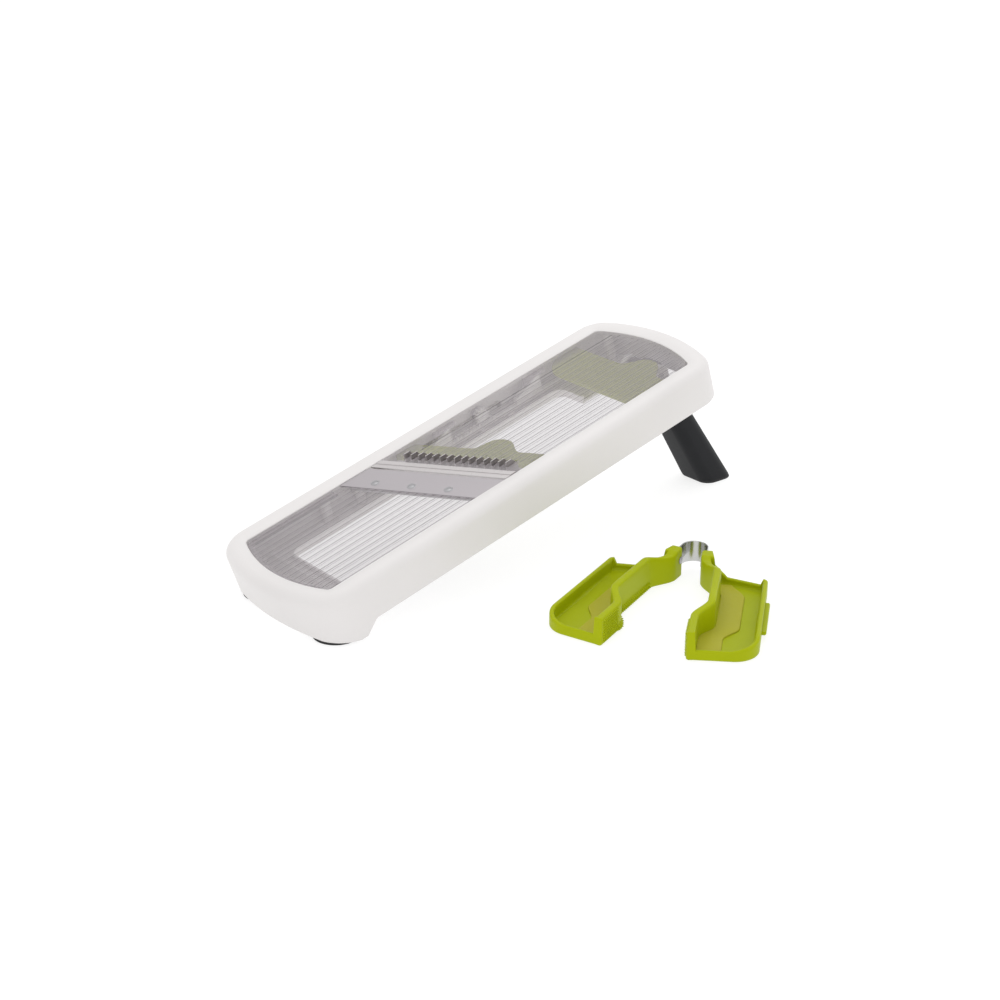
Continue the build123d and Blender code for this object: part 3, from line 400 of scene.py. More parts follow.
def slab(top, bottom, keep):
    """A closed plate: the kept squares of a grid, the same squares below, and walls where they end."""
    rows, columns = top.shape[:2]
    count = rows * columns
    index = np.arange(count).reshape(rows, columns)
    quads = np.stack([index[:-1, :-1], index[:-1, 1:], index[1:, 1:], index[1:, :-1]], -1)[keep]
    a, b = quads.ravel(), np.roll(quads, -1, 1).ravel()
    edge = ~np.isin(a * count + b, b * count + a)
    walls = np.stack([b[edge], a[edge], a[edge] + count, b[edge] + count], 1)
    faces = np.concatenate([quads, quads[:, ::-1] + count, walls])
    used, faces = np.unique(faces, return_inverse=True)
    corners = np.concatenate([top.reshape(-1, 3), bottom.reshape(-1, 3)])[used]
    return corners, faces.reshape(-1, 4).tolist()


def strip(profile, stations):
    """A closed profile of (distance square to the cutting edge, height) carried across the deck."""
    x = np.asarray(stations, float)[:, None]
    d, z = np.asarray(profile, float).T
    return shell(on_deck(x, throat(x) + d * along, z), turns=True, capped=True)


# Clear styrene-acrylonitrile, greyed by fine knife scratches and mould haze on both faces, so that each face
# lets two thirds of the light straight through.  Each rib's steep flank bends the light away; that dark line
# is painted shade, a darker base colour and a higher alpha in a thin band along each flank.
clear_plastic, shader = new_finish("moulded_clear_plastic", IOR=1.5)
links = clear_plastic.node_tree.links
spot = add_node(clear_plastic, "ShaderNodeTexCoord", {})
stretch = add_node(
    clear_plastic, "ShaderNodeMapping", {"Vector": spot.outputs["Object"], "Scale": (2200.0, 60.0, 60.0)}
)
scratches = add_node(clear_plastic, "ShaderNodeTexNoise", {
    "Vector": stretch.outputs["Vector"], "Detail": 3.0,
})
haze = add_node(
    clear_plastic, "ShaderNodeMapRange", {"Value": scratches.outputs["Fac"], "To Min": 0.14, "To Max": 0.26}
)
links.new(haze.outputs["Result"], shader.inputs["Roughness"])
flank_at = origin_x + (rib_pitch / 2 - 0.6) / 1000
waves = 2 * math.pi / (rib_pitch / 1000)
# Painted shade: a wave placed on the ribs' flanks marks a thin band, only where the ribbed attribute is set.
flanks = add_node(clear_plastic, "ShaderNodeTexWave", {
    "Vector": spot.outputs["Object"], "Scale": waves / 20, "Phase Offset": math.pi - waves * flank_at,
})
line = add_node(clear_plastic, "ShaderNodeMapRange", {
    "Value": flanks.outputs["Fac"], "From Min": 0.9, "From Max": 0.99,
})
ribbed = add_node(clear_plastic, "ShaderNodeAttribute", {}, attribute_name="ribbed")
shade = add_node(clear_plastic, "ShaderNodeMath", {
    0: line.outputs["Result"], 1: ribbed.outputs["Fac"],
}, operation="MULTIPLY")
# Base colour: the plastic's milky tint, mixed to the painted shade colour #4E484C along the flank bands.
tint = add_node(clear_plastic, "ShaderNodeMix", {
    "Factor": shade.outputs["Value"], "A": linear("#BFB9BC"), "B": linear("#4E484C"),
}, data_type="RGBA")
links.new(tint.outputs["Result"], shader.inputs["Base Color"])
# Alpha: 0.34 for the haze, raised to 0.75 in the painted shade bands.
opacity_and_painted_shade = add_node(
    clear_plastic, "ShaderNodeMapRange", {"Value": shade.outputs["Value"], "To Min": 0.34, "To Max": 0.75}
)
links.new(opacity_and_painted_shade.outputs["Result"], shader.inputs["Alpha"])


def mark_painted_rib_shade(made, near, far):
    """Sets the ribbed attribute to 1 on the plate's corners between two deck y lines, given by x, and to 0
    past them; the deck y of a corner is its place turned back through the tilt.  The attribute masks the
    painted shade along the rib flanks."""
    count = len(made.data.vertices)
    place = np.empty(3 * count)
    made.data.vertices.foreach_get("co", place)
    x, along_table, height = (place.reshape(-1, 3) - (origin_x, origin_y, deck_height / 1000)).T * 1000
    y = along_table * math.cos(tilt) + height * math.sin(tilt)
    inside = (y > near(x)) & (y < far(x))
    ribbed = made.data.attributes.new("ribbed", "FLOAT", "POINT")
    ribbed.data.foreach_set("value", inside.astype(np.float32))


x, ribs = rib_columns(-half_opening + 0.25, half_opening - 0.25)
y_near = low_end(x, 0.25)
y_step = throat(x) - (blade_width + blade_seam) * along
y_front = throat(x) - ledge_front * along
run = y_step - y_near
share = np.linspace(0, 1, 25)[1:-1, None]
fade = rib_margin + 1.5
y = np.concatenate([
    y_near + np.array([[0.0], [0.4], [2.0], [rib_margin], [fade]]),
    y_near + fade + (run - fade - 2.4) * share,
    y_step - np.array([[2.4], [1.2], [0.4], [0.0], [0.0]]),
    y_front + np.array([[0.0]]),
])
lift = np.concatenate([[0, 0, 0, 0, 1], np.ones(len(share)), [1, 0, 0, 0, 0, 0]])
step = np.concatenate([np.zeros(len(lift) - 2), [1, 1]])
top_z = deck_top + lift[:, None] * ribs - step[:, None] * (blade_thickness + 0.05)
keep = np.ones((len(y) - 1, len(x) - 1), bool)
plate = slab(on_deck(x, y, top_z), on_deck(x, y, deck_bottom), keep)
flange_path = np.array(opening_ring(0.0))[:, quarter - 14:2 * quarter + 12]
outer_path = np.array(opening_ring(6.8))[:, quarter - 14:2 * quarter + 12]
inner_path = np.array(opening_ring(-4.0))[:, quarter - 14:2 * quarter + 12]
low_part = (flange_path[1] < 80) & (flange_path[1] > opening_tip - 1)
flange = np.stack([
    on_deck(*path[:, low_part], z) for path, z in
    (
        (inner_path, flange_bottom), (outer_path, flange_bottom),
        (outer_path, flange_top), (inner_path, flange_top),
    )
], 1)
outfeed = piece(
    "outfeed_plate", [plate, shell(flange, turns=True, capped=True)],
    clear_plastic, "slicer", ["outfeed_deck"], sharp=28.0,
)
mark_painted_rib_shade(outfeed, lambda x: low_end(x, 0.25) + rib_margin, lambda x: throat(x) - (blade_width + 0.9) * along)

# ---------------------------------------------------------------- blade, its bar and rivets
# A flat ground stainless blade lies in the ledge, its edge skewed across the deck for a slicing cut.  Three
# rivets hold it to a steel bar below the deck.
# Fine-ground stainless: the belt leaves hairlines along the blade, which stretch its reflections.
ground_steel, shader = new_finish("fine_ground_stainless", Base_Color=linear("#B0ABAE"), Metallic=1.0)
spot = add_node(ground_steel, "ShaderNodeTexCoord", {})
turn = add_node(ground_steel, "ShaderNodeMapping", {
    "Vector": spot.outputs["Object"], "Rotation": (0.0, 0.0, -math.atan(skew)),
    "Scale": (40.0, 2600.0, 40.0),
})
hairlines = add_node(ground_steel, "ShaderNodeTexNoise", {"Vector": turn.outputs["Vector"], "Detail": 4.0})
polish = add_node(
    ground_steel, "ShaderNodeMapRange", {"Value": hairlines.outputs["Fac"], "To Min": 0.34, "To Max": 0.5}
)
ground_steel.node_tree.links.new(polish.outputs["Result"], shader.inputs["Roughness"])
skin = add_node(
    ground_steel, "ShaderNodeBump", {"Height": hairlines.outputs["Fac"], "Strength": 0.12, "Distance": 0.0001}
)
ground_steel.node_tree.links.new(skin.outputs["Normal"], shader.inputs["Normal"])


def soften(made, width, steps=2, angle=40.0):
    """Rounds every edge of a piece that is sharper than angle, by a real edge break in millimetres."""
    bevel = made.modifiers.new("edge_break", "BEVEL")
    bevel.width, bevel.segments = width / 1000, steps
    bevel.limit_method, bevel.angle_limit = "ANGLE", math.radians(angle)
    bevel.harden_normals = True
    bevel.use_clamp_overlap = True
    return made


blade_bottom = deck_top - blade_thickness
blade_profile = [
    (-blade_width, blade_bottom), (-2.2, blade_bottom), (0.0, deck_top - 0.1), (0.0, deck_top),
    (-blade_width, deck_top),
]
blade_ends = (-half_opening + 0.3, 0.0, half_opening - 0.3)
blade = piece(
    "slicing_blade", [strip(blade_profile, blade_ends)], ground_steel, "slicer", ["main_blade"]
)
soften(blade, 0.06, 1, 60.0)
rivet_middle, rivet_spacing, rivet_inset = -2.7, 27.3, 7.0
rivet_shells = []
for x in (rivet_middle - rivet_spacing, rivet_middle, rivet_middle + rivet_spacing):
    radii = (0, 1.3, 1.9, 2.1, 2.5, 2.9, 3.2, 3.4, 1.6, 1.6, 2.8, 2.8, 0)
    heights = (0.32, 0.3, 0.05, 0.05, 0.5, 0.5, 0.1, 0.0, 0.0, -5.8, -5.8, -6.3, -6.3)
    y = throat(x) - (blade_width - rivet_inset) * along
    rivet_shells.append(lathe(radii, np.array(heights) + deck_top, x, y, on_deck, 32))
# Tumbled zinc-plated steel of the fasteners: a grey metal with a soft, slightly cloudy shine.
plated_steel, shader = new_finish("zinc_plated_steel", Base_Color=linear("#A9A8AA"), Metallic=1.0)
grained(plated_steel, shader, 700.0, 3.0, 0.26, 0.48)
piece("blade_rivet_set", rivet_shells, plated_steel, "slicer", ["blade_rivets"], sharp=40.0)

# ---------------------------------------------------------------- infeed ramp and its lip
# The upper deck is a second clear ribbed plate that rises and falls to set the slice.  It has fifteen slots
# for the comb's teeth and a long slit beside them, and a stepped steel lip along its cutting end.
ramp_top, ramp_bottom, ramp_gap = -0.2, -2.8, 0.6
lip_near, lip_width, lip_thickness, lip_step, lip_proud = 1.3, 9.0, 1.1, 0.4, 0.2
slit_x, slit_near, slit_far, slit_half, slit_bulb = -37.0, 35.0, 107.0, 1.5, 2.6
tooth_count, tooth_pitch, tooth_middle, tooth_half, tooth_length = 15, 5.4, 1.5, 0.4, 10.0
tooth_near, slot_side, slot_end = 15.0 * along, 0.5, 0.5
tooth_x = tooth_middle + tooth_pitch * (np.arange(tooth_count) - (tooth_count - 1) / 2)

x, ribs = rib_columns(-half_opening + ramp_gap, half_opening - ramp_gap)
extra = np.concatenate([tooth_x - tooth_half - slot_side, tooth_x + tooth_half + slot_side])
slit_columns = slit_x + np.array([-3.4, -slit_half, slit_half, 3.4])
away = (np.abs(x[:, None] - extra).min(1) > 0.12) & ((x < slit_columns[0]) | (x > slit_columns[-1]))
ribs = np.concatenate([np.where(x < slit_x, 0, ribs)[away], np.interp(extra, x, ribs), np.zeros(4)])
x = np.concatenate([x[away], extra, slit_columns])
order = np.argsort(x)
x, ribs = x[order], ribs[order]
slot_rows = tooth_near + np.array([-slot_end, tooth_length + slot_end])
bulb_rows = slit_far + slit_bulb * np.sin(np.linspace(-math.pi / 2, math.pi / 2, 9))
near_rows = np.concatenate([
    [(lip_near + lip_width + 0.1) * along, 12.4, 13.6], slot_rows, [29.0, 30.5, slit_near],
    np.linspace(slit_near, slit_far, 10)[1:-1], bulb_rows, [slit_far + slit_bulb + 1],
])
y_far = 2 * deck_middle - low_end(x, ramp_gap)
y_start = throat(x) + near_rows[-1]
share = np.linspace(0, 1, 14)[1:-1, None]
y = np.concatenate([
    throat(x) + near_rows[:, None],
    y_start + (y_far - fade - y_start) * share,
    y_far - np.array([[fade], [rib_margin], [2.0], [0.4], [0.0]]),
])
lift = np.ones(len(y))
lift[[0, 1, -1, -2, -3, -4]] = 0
low_slots, high_slots = np.searchsorted(near_rows, slot_rows)
lift[low_slots - 1:high_slots + 2] = 0
plan_x = np.tile(x, (len(y), 1))
left_edge, right_edge = np.searchsorted(x, slit_columns[1]), np.searchsorted(x, slit_columns[2])
from_bulb = y - (throat(slit_x) + slit_far)
bulge = np.sqrt(np.maximum(slit_bulb ** 2 - from_bulb ** 2, slit_half ** 2))
plan_x[:, left_edge] = slit_x - bulge[:, left_edge]
plan_x[:, right_edge] = slit_x + bulge[:, right_edge]
middle_x = (x[1:] + x[:-1]) / 2
in_slot = (np.abs(middle_x[:, None] - tooth_x).min(1) < tooth_half + slot_side)[None]
row = np.arange(len(y) - 1)[:, None]
in_slot = in_slot & (row >= low_slots) & (row < high_slots)
slit_start, slit_stop = np.searchsorted(near_rows, slit_near), np.searchsorted(near_rows, bulb_rows[-1])
in_slit = ((middle_x > slit_columns[1]) & (middle_x < slit_columns[2]))[None]
in_slit = in_slit & (row >= slit_start) & (row < slit_stop)
top_z = ramp_top + lift[:, None] * ribs
plate = slab(on_deck(plan_x, y, top_z), on_deck(plan_x, y, ramp_bottom), ~(in_slot | in_slit))


def bar(x0, x1, outline):
    """A deck y-z outline carried straight across from x0 to x1."""
    y, z = np.asarray(outline, float).T
    x = np.array([[x0], [x1]])
    return shell(on_deck(x, y, z), turns=True, capped=True)


lifter_travel, pad_length = 12.0, 14.0
ramp_shells = [plate]
for side, starts in ((-1, (163.0, 254.0)), (1, (214.0, 254.0))):
    for start in starts:
        y0 = start + lifter_travel
        y1 = y0 + pad_length
        arm = [(y0 + 1.2, -5.4), (y1 + 1.5, -5.4), (y1 + 1.5, -3.6), (y0 + 1.2, -3.6)]
        root = [(y0 + 1.2, -5.4), (y1 + 1.5, -5.4), (y1 + 1.5, ramp_bottom), (y0 + 1.2, ramp_bottom)]
        foot = [(y0, -14.12), (y1, -8.29), (y1, -5.4), (y0, -5.4)]
        ramp_shells += [
            bar(side * 47.4, side * 50.4, root),
            bar(side * 50.4, side * 58.2, arm),
            bar(side * 55.2, side * 58.2, foot),
        ]
ramp = piece("infeed_plate", ramp_shells, clear_plastic, "ramp", ["infeed_ramp"], sharp=28.0)
mark_painted_rib_shade(
    ramp, lambda x: np.where(x < slit_x, 999.0, throat(x) + 29.0),
    lambda x: 2 * deck_middle - low_end(x, ramp_gap) - rib_margin,
)

lip_top = ramp_top + lip_proud
lip_profile = [
    (lip_near, ramp_top - lip_thickness), (lip_near + lip_width, ramp_top - lip_thickness),
    (lip_near + lip_width, lip_top), (lip_near + lip_width / 2, lip_top),
    (lip_near + lip_width / 2, lip_top - lip_step), (lip_near, lip_top - lip_step),
]
lip_ends = (-half_opening + ramp_gap + 0.2, 0.0, half_opening - ramp_gap - 0.2)
# Freshly ground stainless: brighter than the blade, with a finer grain.
bright_steel, shader = new_finish("freshly_ground_stainless", Base_Color=linear("#C4C0C0"), Metallic=1.0)
grained(bright_steel, shader, 900.0, 2.0, 0.22, 0.4)
lip = piece("stepped_lip", [strip(lip_profile, lip_ends)], bright_steel, "ramp", ["ramp_lip"])
soften(lip, 0.12, 2)

# ---------------------------------------------------------------- julienne comb
# Fifteen small upright blades, pressed from one strip of stainless and ground on their leading edges, stand
# up through the ramp.  They are brighter than the main blade, because each shows a freshly ground face.
strip_low, strip_high, tooth_tip = -9.9, -8.4, 3.5
strip_profile = [(13.0, strip_low), (27.0, strip_low), (27.0, strip_high), (13.0, strip_high)]
comb_shells = [strip(strip_profile, (tooth_x[0] - 4, 0.0, tooth_x[-1] + 4))]
for x in tooth_x:
    y0 = throat(x) + tooth_near
    y1 = y0 + tooth_length
    outline = [
        (y0, strip_low + 0.2), (y1, strip_low + 0.2), (y1, ramp_bottom), (y1 - 4.5, tooth_tip),
        (y0, tooth_tip),
    ]
    comb_shells.append(bar(x - tooth_half, x + tooth_half, outline))
comb = piece("comb_teeth", comb_shells, bright_steel, "comb", ["julienne_comb"])
soften(comb, 0.18, 1)

# ---------------------------------------------------------------- rear leg
# A stout hollow-moulded leg turns on a steel pin between two ears and stands on a rubber pad.  It widens
# towards the table, and a finger notch crosses its inner face close to the hinge.
hinge_y, hinge_z, leg_lean, stand_lean = 339.0, -20.0, math.radians(17.4), math.radians(32.0)
hinge_height = deck_height + hinge_y * math.sin(tilt) + hinge_z * math.cos(tilt)
leg_reach = hinge_height / math.cos(stand_lean)
leg_face, leg_corner, pad_height, notch_at, notch_half, notch_deep = 8.0, 9.0, 2.5, 34.0, 1.2, 1.6
leg_width, leg_widening, leg_depth, leg_deepening = 27.0, 7.0, 20.0, 6.0

# Near-black glass-filled nylon: satin, faintly blue, with a fine spark texture.
black_nylon, shader = new_finish("moulded_black_nylon", IOR=1.53, Specular_IOR_Level=0.2)
drifting(black_nylon, shader, 40.0, 2.0, "#121316", "#18191C")
grained(black_nylon, shader, 1800.0, 2.0, 0.5, 0.64, 0.25)


def reach_to(n, height):
    """How far down the leg's axis a line at offset n from it comes to this height above the table."""
    return (hinge_height - math.sin(stand_lean) * n - height) / math.cos(stand_lean)


def leg_rows(high, low, stations, shrink):
    """Rounded sections carried down the leg from a level height high, or square from the hinge where high is
    None, to a level height low: width and depth grow evenly with the distance from the hinge, shrink draws a
    section in at each station, and the finger notch is cut into the inner face."""
    angle = np.linspace(0, 2 * math.pi, 64, endpoint=False) + math.pi / 64
    around_x, around_n = np.cos(angle), np.sin(angle)
    rows = []
    for share, inset in zip(stations, shrink):
        reach = share * leg_reach
        for _ in range(5):
            grown = reach / leg_reach
            half_x = (leg_width + leg_widening * grown) / 2 - inset
            half_n = (leg_depth + leg_deepening * grown) / 2 - inset
            corner = leg_corner - inset
            x = np.sign(around_x) * (half_x - corner) + corner * around_x
            n = leg_face - inset - half_n + np.sign(around_n) * (half_n - corner) + corner * around_n
            start = 0.0 if high is None else reach_to(n, high)
            reach = start + share * (reach_to(n, low) - start)
        n = np.minimum(n, leg_face - np.where(np.abs(reach - notch_at) < notch_half + 0.05, notch_deep, 0.0))
        y = hinge_y + math.sin(leg_lean) * reach - math.cos(leg_lean) * n
        z = hinge_z - math.cos(leg_lean) * reach - math.sin(leg_lean) * n
        rows.append(on_deck(x, y, z))
    return shell(np.array(rows), turns=True, capped=True)


def cross_lathe(radii, sections, y, z, steps=40):
    """A surface of revolution about a line across the deck: row k is a circle of radii[k] at
    x = sections[k]."""
    angle = np.linspace(0, 2 * math.pi, steps, endpoint=False)
    radii, sections = np.asarray(radii, float)[:, None], np.asarray(sections, float)[:, None]
    points = on_deck(sections + 0 * angle, y + radii * np.cos(angle), z + radii * np.sin(angle))
    return shell(points, turns=True)


body_length = (hinge_height - pad_height) / math.cos(stand_lean)
notch_rows = (notch_at + np.array([-1.9, -1.3, -1.2, 1.2, 1.3, 1.9])) / body_length
stations = np.sort(np.concatenate([[0, 0.004, 0.012], np.linspace(0.02, 0.995, 26), notch_rows, [1.0]]))
shrink = np.maximum(1.0 - stations * body_length / 1.0, 0) ** 2
barrel = cross_lathe((0, 6.6, 7.0, 7.0, 6.6, 0), (-13.5, -13.5, -13.1, 13.1, 13.5, 13.5), hinge_y, hinge_z)
piece(
    "fold_out_leg", [leg_rows(None, pad_height, stations, shrink), barrel],
    black_nylon, "leg", ["rear_leg"], sharp=50.0,
)
pad_stations = np.array([0.0, 0.3, 0.6, 0.8, 0.93, 1.0])
pad_shrink = np.array([0.15, 0.15, 0.15, 0.3, 0.6, 1.1])
piece(
    "leg_sole", [leg_rows(pad_height, 0.0, pad_stations, pad_shrink)],
    rubber, "leg", ["leg_pad"],
)

# ---------------------------------------------------------------- food grip jaws
# The grip lies open on the table: two mirrored jaws of lime ABS, each a low tray with a tall wavy gripping
# wall.  Small points on the wall's end and along its foot bite into the food.
pivot = [joint for joint in frame["joints"] if joint["name"] == "jaw_squeeze"][0]["pos_m"]
grip_turn, jaw_swing = math.radians(-59.3), math.radians(9.4)
jaw_face, bite_face, jaw_side = 7.1, 17.1, 54.6
grip_wall, jaw_floor = 5.4, 2.4
tall, rail = 24.0, 12.0


def in_grip(s, t, z, side):
    """Points of a jaw's frame in the row's frame: s runs from the spring to the open end, t away from the
    other jaw, and each jaw is swung half the opening angle to its side."""
    s, t, z = np.broadcast_arrays(np.asarray(s, float), t, z)
    turn = grip_turn + side * jaw_swing
    x = s * math.cos(turn) - side * t * math.sin(turn)
    y = s * math.sin(turn) + side * t * math.cos(turn)
    return np.stack([pivot[0] + x / 1000, pivot[1] + y / 1000, z / 1000], -1)


def ease(start, end, share):
    """Points along an even S between two straight runs: a cubic with level ends."""
    start, end = np.array(start, float), np.array(end, float)
    smooth = share * share * (3 - 2 * share)
    return np.stack([start[0] + (end[0] - start[0]) * share, start[1] + (end[1] - start[1]) * smooth], 1)


def straight(start, end, share):
    """Points along a straight run."""
    return np.array(start, float) + (np.array(end, float) - start) * share[:, None]


def corner_arc(centre, radius, start, end, share):
    """Points round an arc, angles in degrees."""
    angle = np.radians(start + (end - start) * share)
    return np.array(centre, float) + radius * np.stack([np.cos(angle), np.sin(angle)], 1)


def steps(count):
    """Even shares of a run, without its end."""
    return np.linspace(0, 1, count, endpoint=False)


knuckle_top, neck_top, pillar_top, low = 22.6, 20.6, 20.4, 7.4


def wall_height(s):
    """Height of the gripping wall's top at s: it dips behind the knuckle, is tallest along the bite, and
    eases down to the pillar at the open end."""
    places = np.array([16.0, 21.0, 25.0, 40.0, 84.0, 108.0])
    heights = np.array([knuckle_top, neck_top, neck_top, tall, tall, pillar_top])
    k = np.clip(np.searchsorted(places, s) - 1, 0, 4)
    share = np.clip((s - places[k]) / (places[k + 1] - places[k]), 0, 1)
    return heights[k] + (heights[k + 1] - heights[k]) * share * share * (3 - 2 * share)


inner_face, inner_bite, knuckle_back, rise_end = 12.5, 22.5, 13.3, 41.0
corner_centre, back_centre = (116.0, 36.6), (29.0, 50.6)
runs = [
    # outer line, inner line and wall-top heights: first along the gripping wall, from the knuckle
    (
        straight((8.8, 6.1), (17.0, 6.1), steps(8)),
        straight((17.6, 14.0), (18.0, knuckle_back), steps(8)), None,
    ),
    (
        ease((17.0, 6.1), (rise_end, bite_face), steps(26)),
        ease((18.0, knuckle_back), (rise_end + 2, inner_bite), steps(26)), None,
    ),
    (
        straight((rise_end, bite_face), (88.0, bite_face), steps(18)),
        straight((rise_end + 2, inner_bite), (89.0, inner_bite), steps(18)), None,
    ),
    (
        ease((88.0, bite_face), (107.0, jaw_face), steps(26)),
        ease((89.0, inner_bite), (109.0, inner_face), steps(26)), None,
    ),
    (
        straight((107.0, jaw_face), (134.4, jaw_face), steps(10)),
        straight((109.0, inner_face), (132.9, inner_face), steps(10)), None,
    ),
    # round the pillar's end and along the low end wall to the rail
    (
        corner_arc((134.4, jaw_face + 1.6), 1.6, -90, 0, steps(7)),
        straight((132.9, inner_face), (133.1, inner_face), steps(7)), (pillar_top, pillar_top),
    ),
    (
        straight((136.0, jaw_face + 1.6), (135.7, 12.6), steps(5)),
        straight((133.1, inner_face), (133.1, 12.6), steps(5)), (pillar_top, pillar_top),
    ),
    (
        straight((135.7, 12.6), (135.66, 13.4), steps(3)), straight((133.1, 12.6), (132.7, 13.4), steps(3)),
        (pillar_top, low),
    ),
    (
        straight((135.66, 13.4), (134.0, 36.6), steps(12)), straight((132.7, 13.4), (131.0, 36.6), steps(12)),
        (low, low),
    ),
    (
        corner_arc(corner_centre, 18.0, 0, 90, steps(20)),
        corner_arc(corner_centre, 14.6, 0, 90, steps(20)), (low, rail),
    ),
    # back along the rail, and across the closed end
    (
        straight((116.0, jaw_side), (29.0, jaw_side), steps(20)),
        straight((116.0, 51.2), (29.0, 51.2), steps(20)), (rail, rail),
    ),
    (
        corner_arc(back_centre, 4.0, 90, 166, steps(8)),
        corner_arc(back_centre, 0.8, 90, 166, steps(8)), (rail, rail),
    ),
    (
        straight((25.1, 51.6), (24.5, 49.6), steps(3)), straight((28.2, 50.8), (27.5, 49.0), steps(3)),
        (rail, low),
    ),
    (
        straight((24.5, 49.6), (16.8, 25.6), steps(12)), straight((27.5, 49.0), (19.9, 25.4), steps(12)),
        (low, low),
    ),
    (
        straight((16.8, 25.6), (16.2, 23.4), steps(5)), straight((19.9, 25.4), (19.3, 23.6), steps(5)),
        (low, low + 2),
    ),
    (
        straight((16.2, 23.4), (9.4, 15.6), steps(8)), straight((19.3, 23.6), (18.0, 17.0), steps(8)),
        (low + 2, low + 6),
    ),
    (
        corner_arc((9.4, 13.2), 2.4, 95, 180, steps(7)), straight((18.0, 17.0), (17.7, 15.4), steps(7)),
        (low + 6, knuckle_top),
    ),
    (
        straight((7.0, 13.2), (7.0, 7.9), steps(4)), straight((17.7, 15.4), (17.6, 14.2), steps(4)),
        (knuckle_top, knuckle_top),
    ),
    (
        corner_arc((8.8, 7.9), 1.8, 180, 270, steps(6)), straight((17.6, 14.2), (17.6, 14.0), steps(6)),
        (knuckle_top, knuckle_top),
    ),
]
outer_line = np.concatenate([run[0] for run in runs])
inner_line = np.concatenate([run[1] for run in runs])
top_line = np.concatenate([
    wall_height(run[0][:, 0]) if run[2] is None else run[2][0] + (run[2][1] - run[2][0]) * steps(len(run[0]))
    for run in runs
])
inward = inner_line - outer_line
thickness = np.linalg.norm(inward, axis=1)
inward = inward / thickness[:, None]
pool = np.array([75.0, 35.0])
to_pool = pool - inner_line
to_pool = to_pool / np.linalg.norm(to_pool, axis=1)[:, None]
top_round = np.minimum(1.7, thickness * 0.46)
foot_round, floor_round = 1.2, 2.6

# Lime ABS with a soft moulded skin: a strong yellow-green that darkens a little in its folds, and a broad
# satin gloss.
lime_abs, shader = new_finish(
    "moulded_lime_abs", IOR=1.53, Specular_IOR_Level=0.1, Subsurface_Weight=0.05,
    Subsurface_Radius=(0.004, 0.005, 0.001), Subsurface_Scale=0.6,
)
drifting(lime_abs, shader, 30.0, 2.0, "#9CA702", "#A6B103")
grained(lime_abs, shader, 1600.0, 2.0, 0.36, 0.5, 0.12)


def jaw_tray(side):
    """The tray and its walls as one skin: up the outside, over the wall's rounded top, down the inside and
    round into the floor.  Flat faces close the underside and the floor."""
    rows = []

    def add(inset, z):
        """A row this far in from the outer line, at these heights."""
        plan = outer_line + inward * np.broadcast_to(inset, thickness.shape)[:, None]
        rows.append(in_grip(plan[:, 0], plan[:, 1], z + 0 * thickness, side))

    for a in quarter_turn[::2]:
        add(foot_round * (1 - math.sin(a)), foot_round * (1 - math.cos(a)))
    for share in np.linspace(0, 1, 7)[1:]:
        add(0.0, foot_round + (top_line - top_round - foot_round) * share)
    for a in quarter_turn[2::2]:
        add(top_round * (1 - math.cos(a)), top_line - top_round * (1 - math.sin(a)))
    for a in quarter_turn[::2]:
        add(thickness - top_round * (1 - math.sin(a)), top_line - top_round * (1 - math.cos(a)))
    for share in np.linspace(0, 1, 5)[1:]:
        add(thickness, top_line - top_round + (jaw_floor + floor_round - top_line + top_round) * share)
    for a in quarter_turn[2::2]:
        plan = inner_line + to_pool * floor_round * (1 - math.cos(a))
        z = jaw_floor + floor_round * (1 - math.sin(a))
        rows.append(in_grip(plan[:, 0], plan[:, 1], z + 0 * thickness, side))
    return shell(np.array(rows), turns=True, capped=True)


def points_on_wall(s, t, lean, z, half, height, side):
    """Small four-sided points standing on the gripping wall: centres at s, t, z, each square to a wall that
    leans by the given angle from the jaw's length."""
    s, t, lean, z = np.broadcast_arrays(s, t, lean, z)
    run = np.stack([np.cos(lean), np.sin(lean)], -1)
    out = np.stack([np.sin(lean), -np.cos(lean)], -1)
    centre = np.stack([s, t], -1)
    corners = []
    for a, b in ((-1, -1), (1, -1), (1, 1), (-1, 1)):
        plan = centre + run * (a * half) - out * 0.4
        corners.append(in_grip(plan[:, 0], plan[:, 1], z + b * half, side))
    tip = centre + out * height
    corners.append(in_grip(tip[:, 0], tip[:, 1], z, side))
    base = 5 * np.arange(len(s))[:, None]
    faces = np.concatenate([base + np.array([[a, (a + 1) % 4, 4]]) for a in range(4)]).tolist()
    faces += (base + np.array([[3, 2, 1, 0]])).tolist()
    return np.stack(corners, 1).reshape(-1, 3), faces


def wall_line(s):
    """t and lean of the gripping wall at s."""
    up = np.clip((s - 17.0) / (rise_end - 17.0), 0, 1)
    down = np.clip((s - 88.0) / 19.0, 0, 1)
    t = 6.1 + 11.0 * up * up * (3 - 2 * up) - 10.0 * down * down * (3 - 2 * down)
    slope = 11.0 / (rise_end - 17.0) * 6 * up * (1 - up) - 10.0 / 19.0 * 6 * down * (1 - down)
    return t, np.arctan(slope)


